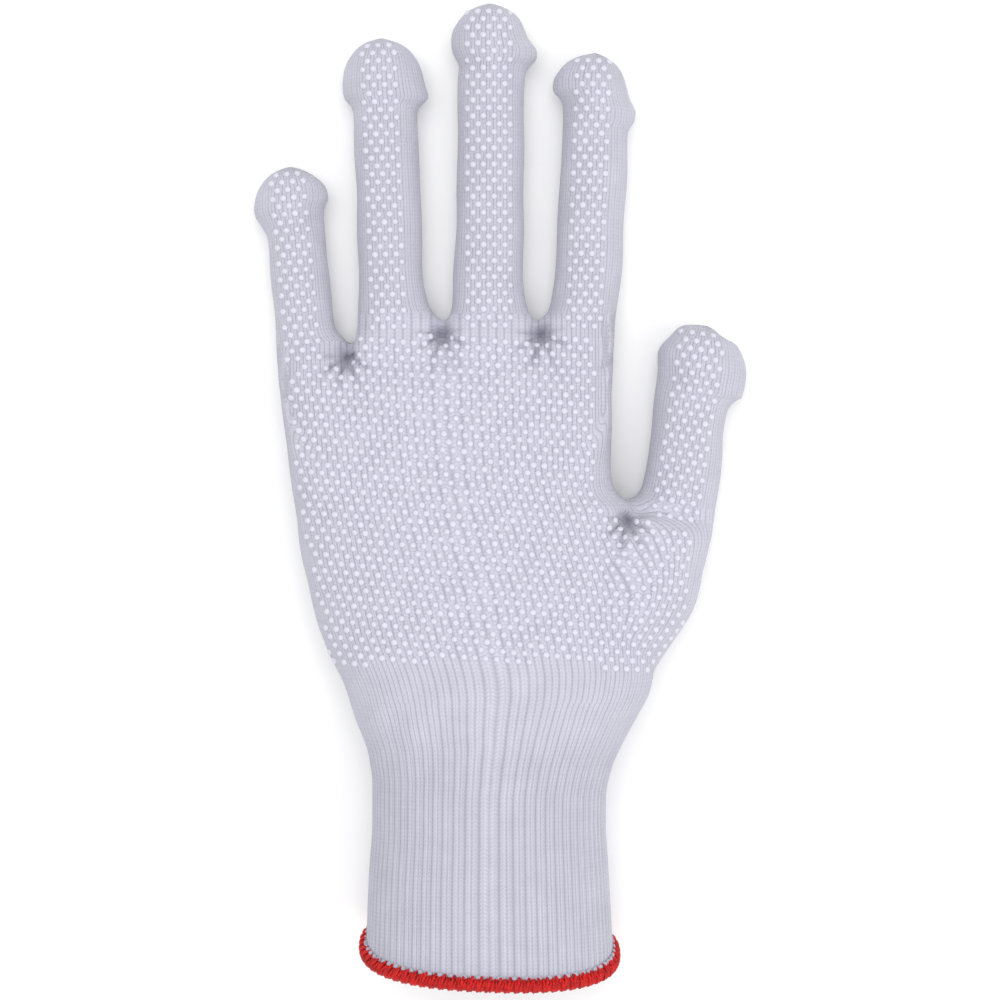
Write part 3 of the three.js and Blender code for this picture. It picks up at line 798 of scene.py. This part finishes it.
def which_piece(centres, digits):
    """A number for each face, and each digit stretch's number as {number: (digit, its joint)}.

    The palm's faces have 0, and the faces below the seam have -1.
    """
    owner = np.where(centres[:, 1] > SEAM_Y, 0, -1)
    stretches = {}
    for digit in digits:
        s, t, _ = digit.local(centres)
        left, right = digit.halves(np.clip(s, digit.cuts[0], digit.length))
        beside = (t > -left - SIDE_MARGIN) & (t < right + SIDE_MARGIN)
        for i, (low, high) in enumerate(zip(digit.cuts, digit.cuts[1:])):
            number = len(stretches) + 1
            owner[beside & (s > low) & (s <= high)] = number
            stretches[number] = (digit, i)
    return owner, stretches


def part_of(points, faces, chosen, name):
    """A new piece from some of the faces."""
    used = sorted({i for k in chosen for i in faces[k]})
    place = {old: new for new, old in enumerate(used)}
    return new_object(name, points[used], [[place[i] for i in faces[k]] for k in chosen])


def knit_digit(piece, digit):
    """Writes a digit's own map of wales round it and courses along it."""
    points = coordinates(piece.data)
    s, t, z = digit.local(points)
    left, right = digit.halves(s)
    low, middle, high = digit.heights(s)
    across = t / np.maximum(np.where(t > 0, right, left), 1)
    up = (z - middle) / np.maximum(np.where(z > middle, high - middle, middle), 1)
    wales = digit.shape["wales"]
    turn = np.mod(np.arctan2(up, across) / (2 * math.pi) + 0.25, 1.0) * wales
    write_knit(piece, turn, s / COURSE, wales)


def joint_span(digit, i):
    """Where a digit's cloth starts and ends bending at its joint i, in metres."""
    reach = digit.shape["reach"][i] * digit.along
    return tuple((digit.pivots[i] - reach) * MM), tuple((digit.pivots[i] + reach) * MM)


class GLOVE_OT_hand(bpy.types.Operator):
    """Knit the hand: palm, back and digits, divided where they bend"""

    bl_idname = "glove.hand"
    bl_label = "Knitted hand"

    def execute(self, context):
        sizes, colours = context.scene.glove_sizes, context.scene.glove_colours
        skin, digits = hand_skin(sizes)
        points, faces = cut_skin(skin, digits)
        centres = np.array([points[f].mean(0) for f in faces])
        owner, stretches = which_piece(centres, digits)
        knit = shared_material("jersey_knit", lambda name: knit_material(name, colours, False))
        palm = part_of(points, faces, np.flatnonzero(owner == 0), "hand_palm")
        places = coordinates(palm.data)
        turn = np.mod(hand_angle(places) / (2 * math.pi) + 0.25, 1.0) * sizes.wales
        write_knit(palm, turn, places[:, 1] / COURSE, sizes.wales)
        self.finish(palm, knit, sizes)
        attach(palm, "hand")
        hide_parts("palm_knit")
        for number, (digit, i) in stretches.items():
            part = digit.bodies[i + 1]
            piece = part_of(points, faces, np.flatnonzero(owner == number), f"{part}_knit")
            knit_digit(piece, digit)
            self.finish(piece, knit, sizes)
            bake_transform(piece)
            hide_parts(part, f"{digit.name}_{digit.folds[i]}_fold")
        skin.hide_render = True
        return {"FINISHED"}

    def finish(self, piece, knit, sizes):
        """Gives a piece of the skin the amount of painted shade in its pits, its material and its thickness.
        """
        piece.data.materials.append(knit)
        write_amount(piece, "pit_shade", pit_shade_amount(coordinates(piece.data)))
        walled(piece, sizes.wall)


# ---- the ribbed wrist and cuff ----

def edge_drop(points):
    """How far the cuff's slanting edge lies below its sides, for points near it."""
    _, _, low, high = hand_row(EDGE_Y)
    middle, half = (low + high) / 2, (high - low) / 2
    return EDGE_DIP * (points[:, 2] - middle) / half + EDGE_LEAN * points[:, 0]


def cuff_ring(y, sides, inset=0.0):
    """A ring of the cuff, dropped towards its slanting edge as it nears it."""
    left, right, low, high = [float(v) for v in hand_row(y)]
    middle = low + (high - low) * CENTRE_HEIGHT
    half = (right - left) / 2 - inset
    centre = ((left + right) / 2, y, 0)
    ring = rounded_section(
        sides, HAND_SQUARE, centre, (1, 0, 0), half, half, low + inset, middle, high - inset)
    share = np.clip((y - SLANT_START) / (EDGE_Y - SLANT_START), 0, 1) ** SLANT_CURVE
    ring[:, 1] -= share * edge_drop(ring)
    return ring


def outwards(ring):
    """The direction out of a closed ring at each of its points, square to the hand's length."""
    run = np.roll(ring, -1, 0) - np.roll(ring, 1, 0)
    out = np.stack([run[:, 2], np.zeros(len(ring)), -run[:, 0]], 1)
    return out / np.linalg.norm(out, axis=1)[:, None]


def ribbed_grid(sizes, skin):
    """Rings of the ribbed part from the hand's skin to the hem."""
    sides = sizes.wales * 4
    wale = np.arange(sides) / sides * sizes.wales
    # Two wales to a rib: one stands up and one lies back.
    rib = (0.5 + 0.5 * np.cos(wale * math.pi)) ** 0.8
    surface = BVHTree.FromObject(skin, bpy.context.evaluated_depsgraph_get())
    rings = []
    for y in np.concatenate([np.arange(SEAM_Y, -100, -RIB_STEP), np.linspace(-100, EDGE_Y, 12)]):
        ring = cuff_ring(y, sides)
        out = outwards(ring)
        if y > SEAM_Y - SEAM_MATCH:
            share = smoothstep(-SEAM_MATCH, -3, y - SEAM_Y)
            middle = np.array([ring[:, 0].mean(), y, ring[:, 2].mean()])
            for k, point in enumerate(ring):
                aim = Vector(point - middle).normalized()
                hit = surface.ray_cast(Vector(middle * MM), aim)[0]
                if hit:
                    ring[k] = ring[k] * (1 - share) + np.array(hit) / MM * share
        depth = sizes.rib_depth / MM * smoothstep(0, RIB_GROWTH, SEAM_Y - y)
        ring += out * ((rib - 0.5) * depth)[:, None]
        ring[:, 2] = np.maximum(ring[:, 2], OFF_FLOOR)
        rings.append(ring)
    return rings


def sleeve(name, rings, sizes):
    """An open sleeve through rings, with the knit's map on it."""
    sides = len(rings[0])
    points = np.concatenate(rings)
    piece = new_object(name, points, ring_faces(len(rings), sides))
    angle = (np.arange(sides) + 0.5) / sides
    turn = np.mod(np.tile(angle, len(rings)) + 0.25, 1.0) * sizes.wales
    write_knit(piece, turn, points[:, 1] / COURSE, sizes.wales)
    write_amount(piece, "rib", smoothstep(0, RIB_GROWTH, SEAM_Y - points[:, 1]))
    return piece


class GLOVE_OT_cuff(bpy.types.Operator):
    """Knit the ribbed wrist and cuff"""

    bl_idname = "glove.cuff"
    bl_label = "Ribbed cuff"

    def execute(self, context):
        sizes, colours = context.scene.glove_sizes, context.scene.glove_colours
        skin = bpy.data.objects["hand_skin"]
        rings = ribbed_grid(sizes, skin)
        rib = shared_material("ribbed_jersey_knit", lambda name: knit_material(name, colours, True))
        pivot = np.array(WRIST["pos_m"]) / MM
        end = next(k for k, ring in enumerate(rings) if ring[:, 1].max() < pivot[1] - WRIST_REACH)
        wrist = sleeve("wrist_rib", rings[:end + 1], sizes)
        cuff = sleeve("cuff_rib", rings[end:], sizes)
        for piece in (wrist, cuff):
            piece.data.materials.append(rib)
            walled(piece, sizes.wall)
        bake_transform(wrist)
        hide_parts("wrist_fold")
        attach(cuff, "cuff")
        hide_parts("cuff_knit")
        bpy.data.objects.remove(skin)
        return {"FINISHED"}


# ---- what repeats, by geometry nodes ----

def node_group(name, sockets):
    """A geometry tree with a geometry input and output and these named inputs."""
    tree = bpy.data.node_groups.new(name, "GeometryNodeTree")
    tree.interface.new_socket("Geometry", in_out="INPUT", socket_type="NodeSocketGeometry")
    for label, kind in sockets:
        tree.interface.new_socket(label, in_out="INPUT", socket_type=kind)
    tree.interface.new_socket("Geometry", in_out="OUTPUT", socket_type="NodeSocketGeometry")
    return tree, add_node(tree, "NodeGroupInput")


def close_tree(tree, geometry, material):
    """Ends a tree in real geometry with its material."""
    real = add_node(tree, "GeometryNodeRealizeInstances", None, {0: geometry})
    smooth = add_node(tree, "GeometryNodeSetShadeSmooth", None, {0: real.outputs[0]})
    dressed = add_node(tree, "GeometryNodeSetMaterial", None, {0: smooth.outputs[0], "Material": material})
    add_node(tree, "NodeGroupOutput", None, {0: dressed.outputs[0]})
    return tree


def grown(piece, tree, values):
    """The piece with the tree's result as its plain mesh."""
    modifier = piece.modifiers.new(tree.name, "NODES")
    modifier.node_group = tree
    named = {item.name: item.identifier for item in tree.interface.items_tree if item.in_out == "INPUT"}
    for label, value in values.items():
        modifier[named[label]] = value
    return applied(piece)


def named_vector(tree, name):
    """A vector that each point carries."""
    node = add_node(tree, "GeometryNodeInputNamedAttribute", {"data_type": "FLOAT_VECTOR"}, {"Name": name})
    return node.outputs[0]


def circle(tree, sides, radius):
    """A circle to sweep or to instance."""
    values = {"Resolution": sides, "Radius": radius}
    return add_node(tree, "GeometryNodeCurvePrimitiveCircle", {"mode": "RADIUS"}, values).outputs[0]


def dots_tree(name, material):
    """A flattened ball on each point, sunk to its middle and turned to the point's normal."""
    tree, given = node_group(name, [
        ("Width", "NodeSocketFloat"), ("Height", "NodeSocketFloat"), ("Seed", "NodeSocketInt")])
    ball = add_node(tree, "GeometryNodeMeshUVSphere", None, {"Segments": 9, "Rings": 6, "Radius": 1.0})
    points = add_node(tree, "GeometryNodeMeshToPoints", None, {0: given.outputs["Geometry"]})
    facing = named_vector(tree, "facing")
    turn = add_node(tree, "FunctionNodeAlignRotationToVector", {"axis": "Z"}, {"Vector": facing})
    vary = add_node(tree, "FunctionNodeRandomValue", {"data_type": "FLOAT"}, {
        2: 0.92, 3: 1.06, "Seed": given.outputs["Seed"]})
    half = maths(tree, "MULTIPLY", given.outputs["Width"], 0.5)
    wide = maths(tree, "MULTIPLY", half, vary.outputs[1])
    size = add_node(tree, "ShaderNodeCombineXYZ", None, {0: wide, 1: wide, 2: given.outputs["Height"]})
    placed = add_node(tree, "GeometryNodeInstanceOnPoints", None, {
        "Points": points.outputs[0], "Instance": ball.outputs[0], "Rotation": turn.outputs[0],
        "Scale": size.outputs[0]})
    return close_tree(tree, placed.outputs[0], material)


def wraps_tree(material):
    """A closed round of thread about each point of the cuff's edge, standing across it and leaning."""
    tree, given = node_group("overlock_wraps", [
        ("Thread", "NodeSocketFloat"), ("Outwards", "NodeSocketFloat"), ("Lengthwise", "NodeSocketFloat")])
    shape = add_node(tree, "ShaderNodeCombineXYZ", None, {
        0: given.outputs["Outwards"], 1: given.outputs["Lengthwise"], 2: 1.0})
    oval = add_node(tree, "GeometryNodeTransform", None, {
        "Geometry": circle(tree, 20, 1.0), "Scale": shape.outputs[0]})
    section = circle(tree, 6, given.outputs["Thread"])
    strand = add_node(tree, "GeometryNodeCurveToMesh", None, {0: oval.outputs[0], 1: section})
    points = add_node(tree, "GeometryNodeMeshToPoints", None, {0: given.outputs["Geometry"]})
    turn = add_node(tree, "FunctionNodeAxesToRotation", {"primary_axis": "Z", "secondary_axis": "X"}, {
        0: named_vector(tree, "along"), 1: named_vector(tree, "out")})
    placed = add_node(tree, "GeometryNodeInstanceOnPoints", None, {
        "Points": points.outputs[0], "Instance": strand.outputs[0], "Rotation": turn.outputs[0],
        "Scale": named_vector(tree, "girth")})
    return close_tree(tree, placed.outputs[0], material)


def yarn_tree(material):
    """A round yarn along each closed path."""
    tree, given = node_group("laid_in_yarn", [("Radius", "NodeSocketFloat")])
    path = add_node(tree, "GeometryNodeMeshToCurve", None, {0: given.outputs["Geometry"]})
    section = circle(tree, 8, given.outputs["Radius"])
    yarn = add_node(tree, "GeometryNodeCurveToMesh", None, {0: path.outputs[0], 1: section})
    return close_tree(tree, yarn.outputs[0], material)


def points_object(name, points, edges=(), **vectors):
    """An object of points in millimetres, with the edges between them and named vectors on them."""
    mesh = bpy.data.meshes.new(name)
    mesh.from_pydata((np.asarray(points) * MM).tolist(), list(edges), [])
    for label, values in vectors.items():
        layer = mesh.attributes.new(label, "FLOAT_VECTOR", "POINT")
        layer.data.foreach_set("vector", np.asarray(values, float).ravel())
    piece = bpy.data.objects.new(name, mesh)
    bpy.context.scene.collection.objects.link(piece)
    return piece


# ---- grip dots ----

ROOT_PRINT = 4.7       # how far a digit's own rows of dots run on into the palm
PRINT_GAP = 0.9        # between the last of them and the palm's rows
ROOT_HALF = 13.0       # half the width that a digit's rows keep clear of the palm's
TIP_BARE = 1.5         # the bare cloth at a digit's end
PALM_PRINT_BOX = ((-56, -46), (50, 44))
PRINT_TILT = math.radians(-4.5)
PALM_SEED = 3
DIGIT_SEED = 5


def lattice(low, high, sizes, tilt):
    """A staggered lattice of places over a rectangle, turned by tilt."""
    pitch, row = sizes.dot_pitch / MM, sizes.dot_row / MM
    middle = (np.array(low) + np.array(high)) / 2
    reach = float(np.hypot(*(np.array(high) - np.array(low)))) / 2 + pitch
    places = []
    for r in range(-int(reach / row), int(reach / row) + 1):
        for c in range(-int(reach / pitch), int(reach / pitch) + 1):
            places.append(((c + 0.5 * (r % 2)) * pitch, r * row))
    places = np.array(places)
    turn = np.array([[math.cos(tilt), math.sin(tilt)], [-math.sin(tilt), math.cos(tilt)]])
    return places @ turn + middle


def inside(places, outline):
    """Which places lie inside an outline."""
    x, y = places.T
    found = np.zeros(len(places), bool)
    for (x1, y1), (x2, y2) in zip(outline, outline[1:] + outline[:1]):
        crosses = (y1 > y) != (y2 > y)
        if y1 != y2:
            found ^= crosses & (x < (x2 - x1) * (y - y1) / (y2 - y1) + x1)
    return found


def dropped(places, surface):
    """Places dropped onto a surface from above: points in millimetres, and normals."""
    points, normals = [], []
    for x, y in places:
        hit, normal, _, _ = surface.ray_cast(Vector((x * MM, y * MM, 0.2)), Vector((0, 0, -1)))
        if hit and normal.z > 0.3:
            points.append(np.array(hit) / MM)
            normals.append(np.array(normal))
    return np.array(points).reshape(-1, 3), np.array(normals).reshape(-1, 3)


def printed(name, places, cloth, tree, sizes, seed):
    """Dots of print on a piece of cloth, at places on the floor plan."""
    surface = BVHTree.FromObject(bpy.data.objects[cloth], bpy.context.evaluated_depsgraph_get())
    points, normals = dropped(places, surface)
    dots = grown(points_object(name, points, facing=normals), tree, {
        "Width": sizes.dot_width, "Height": sizes.dot_height, "Seed": seed})
    return dots


def on_plan(digit, spots):
    """Spots given across and up a digit, as places on the floor plan."""
    return digit.pivots[0][:2] + spots[:, 1:] * digit.along[:2] + spots[:, :1] * digit.across[:2]


class GLOVE_OT_dots(bpy.types.Operator):
    """Print the grip dots on the palm side"""

    bl_idname = "glove.dots"
    bl_label = "Grip dots"

    def execute(self, context):
        sizes, colours = context.scene.glove_sizes, context.scene.glove_colours
        pvc = shared_material("printed_pvc", lambda name: dot_material(name, colours))
        tree = dots_tree("grip_dots", pvc)
        digits = [Digit(name) for name in DIGITS]
        places = lattice(*PALM_PRINT_BOX, sizes, PRINT_TILT)
        chosen = inside(places, PRINT_AREA)
        roots = []
        grids = []
        for digit in digits:
            root = digit.cuts[0]
            s, t, _ = digit.local(np.column_stack([places, np.zeros(len(places))]))
            chosen &= ~((s > root - ROOT_PRINT - PRINT_GAP) & (np.abs(t) < ROOT_HALF))
            left, right = digit.shape["print"]
            grid = lattice((-9, root), (9, digit.length), sizes, 0.0) + [(left + right) / 2, 0]
            grid = grid[(grid[:, 0] > left) & (grid[:, 0] < right)]
            grids.append(grid)
            roots.append(on_plan(digit, grid[(grid[:, 1] > root - ROOT_PRINT) & (grid[:, 1] < root)]))
        places = np.concatenate([places[chosen], *roots])
        for x, y, radius, _ in PUCKERS:
            places = places[np.hypot(places[:, 0] - x, places[:, 1] - y) > radius]
        palm_dots = printed("palm_dots_print", places, "hand_palm", tree, sizes, PALM_SEED)
        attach(palm_dots, "hand")
        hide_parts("palm_dots")
        for digit, grid in zip(digits, grids):
            for i, (low, high) in enumerate(zip(digit.cuts, digit.cuts[1:])):
                end = min(high, digit.length - TIP_BARE)
                spots = grid[(grid[:, 1] > low) & (grid[:, 1] < end)]
                body = digit.bodies[i + 1]
                dots = printed(
                    f"{body}_print", on_plan(digit, spots), f"{body}_knit", tree, sizes, DIGIT_SEED + i)
                start, end = joint_span(digit, i)
                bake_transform(dots)
                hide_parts(f"{body}_dots")
        return {"FINISHED"}


# ---- hem and elastic ----

STRANDS = 3            # threads to a stitch
STRAND_STEP = 0.27     # from one to the next, as a share of the stitch
TOOTH = 0.3            # how much further up the cuff the middle thread of a stitch reaches
MIDDLE_GIRTH = (1.0, 1.02, 1.0)   # the loop of a middle thread and of an outer one, over the hem's
OUTER_GIRTH = (0.95, 0.92, 1.0)
STITCH_LEAN = math.radians(14)
HEM_OFFSET = 0.15      # how far the middle of the hem lies outside the edge
FINENESS = 24          # points of the edge to a stitch
CORE_STEP = 6          # of which the core takes one in so many
CORE_SIDES = 10
PUFF = {"Width": 1.7 * MM, "Height": 0.5 * MM, "Seed": 11}
PUFF_OUT = 0.25        # how far a puff's middle lies outside the edge
PUFF_SINK = 0.1        # and how far below the top of the hem
YARN_POINTS = 160      # points to a round of elastic
YARN_INSET = 1.75      # how far its middle lies inside the cuff's face
YARN_RADIUS = 0.42


class GLOVE_OT_hem(bpy.types.Operator):
    """Overlock the cuff's edge in red thread"""

    bl_idname = "glove.hem"
    bl_label = "Overlocked hem"

    def execute(self, context):
        sizes, colours = context.scene.glove_sizes, context.scene.glove_colours
        # The dark red is painted shade in the twist's gaps, and the bright red is a painted highlight on its
        # tops.
        red = shared_material("overlock_polyester", lambda name: thread_material(
            name, linear(colours.thread), linear(srgb("5C0406")), linear(srgb("D6201A"))))
        stitches = sizes.wales // 2
        ring = cuff_ring(EDGE_Y, stitches * FINENESS)
        steps = np.linalg.norm(np.roll(ring, -1, 0) - ring, axis=1)
        travel = np.concatenate([[0], np.cumsum(steps)])
        ring_out = outwards(ring)
        places, outs, girths = [], [], []
        for stitch in range(stitches):
            for strand in range(STRANDS):
                middle = strand == STRANDS // 2
                at = (stitch + 0.5 + STRAND_STEP * (strand - STRANDS // 2)) / stitches * travel[-1]
                k = int(np.searchsorted(travel, at)) % len(ring)
                places.append(ring[k] + [0, TOOTH * middle, 0])
                outs.append(ring_out[k])
                girths.append(MIDDLE_GIRTH if middle else OUTER_GIRTH)
        places, outs = np.array(places), np.array(outs)
        along = np.roll(places, -1, 0) - np.roll(places, 1, 0)
        along /= np.linalg.norm(along, axis=1)[:, None]
        leaning = along * math.cos(STITCH_LEAN) + np.cross(along, outs) * math.sin(STITCH_LEAN)
        wraps = points_object(
            "hem_wraps", places + outs * HEM_OFFSET, along=leaning, out=outs, girth=girths)
        grown(wraps, wraps_tree(red), {
            "Thread": sizes.thread, "Outwards": sizes.hem_out - sizes.thread,
            "Lengthwise": sizes.hem_along - sizes.thread * 0.5})
        core = self.core(ring[::CORE_STEP], ring_out[::CORE_STEP], sizes, red)
        self.gathers(ring[::FINENESS], ring_out[::FINENESS], sizes)
        for piece in (wraps, core):
            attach(piece, "cuff")
            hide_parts("cuff_hem")
        return {"FINISHED"}

    def gathers(self, ring, out, sizes):
        """Small puffs of the cuff's knit, squeezed up between the stitches."""
        knit = bpy.data.materials["ribbed_jersey_knit"]
        places = ring + out * PUFF_OUT + [0, sizes.hem_along / MM - PUFF_SINK, 0]
        puffs = grown(
            points_object("hem_gathers", places, facing=out), dots_tree("gathered_knit", knit), PUFF)
        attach(puffs, "cuff")
        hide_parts("cuff_knit")

    def core(self, ring, out, sizes, red):
        """The threads that run along inside the wraps, as one soft rope."""
        wide = (sizes.hem_out - sizes.thread * 1.2) / MM
        long = (sizes.hem_along - sizes.thread * 0.9) / MM
        rounds = []
        for a in np.arange(CORE_SIDES) / CORE_SIDES * 2 * math.pi:
            rounds.append(ring + out * (HEM_OFFSET + wide * math.cos(a)) + [0, long * math.sin(a), 0])
        points = np.stack(rounds, 1).reshape(-1, 3)
        core = turned_out(new_object("hem_core", points, ring_faces(len(ring), CORE_SIDES, closed=True)))
        core.data.materials.append(red)
        core.data.shade_smooth()
        return core


class GLOVE_OT_elastic(bpy.types.Operator):
    """Lay the elastic yarns inside the cuff"""

    bl_idname = "glove.elastic"
    bl_label = "Laid-in elastic"

    def execute(self, context):
        colours = context.scene.glove_colours
        # The grey is painted shade in the twist's gaps, and the near white is a painted highlight on its
        # tops.
        covered = shared_material("covered_elastic", lambda name: thread_material(
            name, linear(colours.elastic), linear(srgb("B9B6AE")), linear(srgb("F4F2EC"))))
        nodes = sorted(name for name in frame["nodes"] if name.startswith("cuff_elastic"))
        points, edges = [], []
        for name in nodes:
            low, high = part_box(name)
            y = (low[1] + high[1]) / 2 / MM
            first = len(points)
            edges += [(first + k, first + (k + 1) % YARN_POINTS) for k in range(YARN_POINTS)]
            points += cuff_ring(y, YARN_POINTS, inset=YARN_INSET).tolist()
        yarns = points_object("cuff_elastic_yarns", points, edges)
        grown(yarns, yarn_tree(covered), {"Radius": YARN_RADIUS * MM})
        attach(yarns, "cuff")
        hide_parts(*nodes)
        return {"FINISHED"}


# ---- stage ----

VIEW_DISTANCE = 0.7      # from the camera to the glove's mid height, in metres
VIEW_WIDTH = 0.25        # width seen there
VIEW_Y = -2.45 * MM      # the middle of the view, up the hand
MID_HEIGHT = 0.008
FLOOR_HALF = 4.0
SKY = 0.92               # strength of the even white light from all round
# Soft lights: name, place and width in metres, power in watts.
LIGHTS = (("overhead", (-0.25, 0.35, 1.5), 1.6, 10.0), ("fill", (0.9, -0.5, 0.9), 1.0, 5.0))


class GLOVE_OT_stage(bpy.types.Operator):
    """Set up the pale floor, soft studio light and camera"""

    bl_idname = "glove.stage"
    bl_label = "Stage"

    def execute(self, context):
        colours = context.scene.glove_colours
        corners = [(x * FLOOR_HALF, y * FLOOR_HALF, 0) for x, y in ((-1, -1), (1, -1), (1, 1), (-1, 1))]
        floor = new_object("floor", corners, [(0, 1, 2, 3)], 1.0)
        floor.data.materials.append(floor_material(colours))
        camera = bpy.data.cameras.new("camera")
        camera.lens = camera.sensor_width * VIEW_DISTANCE / VIEW_WIDTH
        camera.clip_start = 0.01
        viewer = bpy.data.objects.new("camera", camera)
        viewer.location = (0, VIEW_Y, MID_HEIGHT + VIEW_DISTANCE)
        context.scene.collection.objects.link(viewer)
        context.scene.camera = viewer
        for name, place, size, power in LIGHTS:
            light = bpy.data.lights.new(name, "AREA")
            light.shape = "DISK"
            light.size = size
            light.energy = power
            lamp = bpy.data.objects.new(name, light)
            lamp.location = place
            lamp.rotation_euler = (-Vector(place)).to_track_quat("-Z", "Y").to_euler()
            context.scene.collection.objects.link(lamp)
        world = bpy.data.worlds.new("studio")
        world.use_nodes = True
        background = world.node_tree.nodes["Background"]
        background.inputs[0].default_value = (1.0, 1.0, 1.0, 1.0)
        background.inputs[1].default_value = SKY
        context.scene.world = world
        context.scene.view_settings.view_transform = "Standard"
        return {"FINISHED"}


# ---- add-on ----

class GLOVE_PT_panel(bpy.types.Panel):
    """Glove tools"""

    bl_label = "Knitted Work Glove"
    bl_idname = "GLOVE_PT_panel"
    bl_space_type = "VIEW_3D"
    bl_region_type = "UI"
    bl_category = "Glove"

    def draw(self, context):
        for step in STEPS:
            self.layout.operator(step.bl_idname)
        for group in (context.scene.glove_sizes, context.scene.glove_colours):
            for key in group.__annotations__:
                self.layout.prop(group, key)


STEPS = (GLOVE_OT_stage, GLOVE_OT_hand, GLOVE_OT_cuff, GLOVE_OT_dots, GLOVE_OT_hem, GLOVE_OT_elastic)
CLASSES = (GloveSizes, GloveColours, *STEPS, GLOVE_PT_panel)


def register():
    for cls in CLASSES:
        bpy.utils.register_class(cls)
    bpy.types.Scene.glove_sizes = PointerProperty(type=GloveSizes)
    bpy.types.Scene.glove_colours = PointerProperty(type=GloveColours)


def unregister():
    del bpy.types.Scene.glove_colours
    del bpy.types.Scene.glove_sizes
    for cls in reversed(CLASSES):
        bpy.utils.unregister_class(cls)


def main():
    """Makes the whole glove."""
    register()
    for step in STEPS:
        group, name = step.bl_idname.split(".")
        getattr(getattr(bpy.ops, group), name)()


if __name__ == "__main__":
    main()
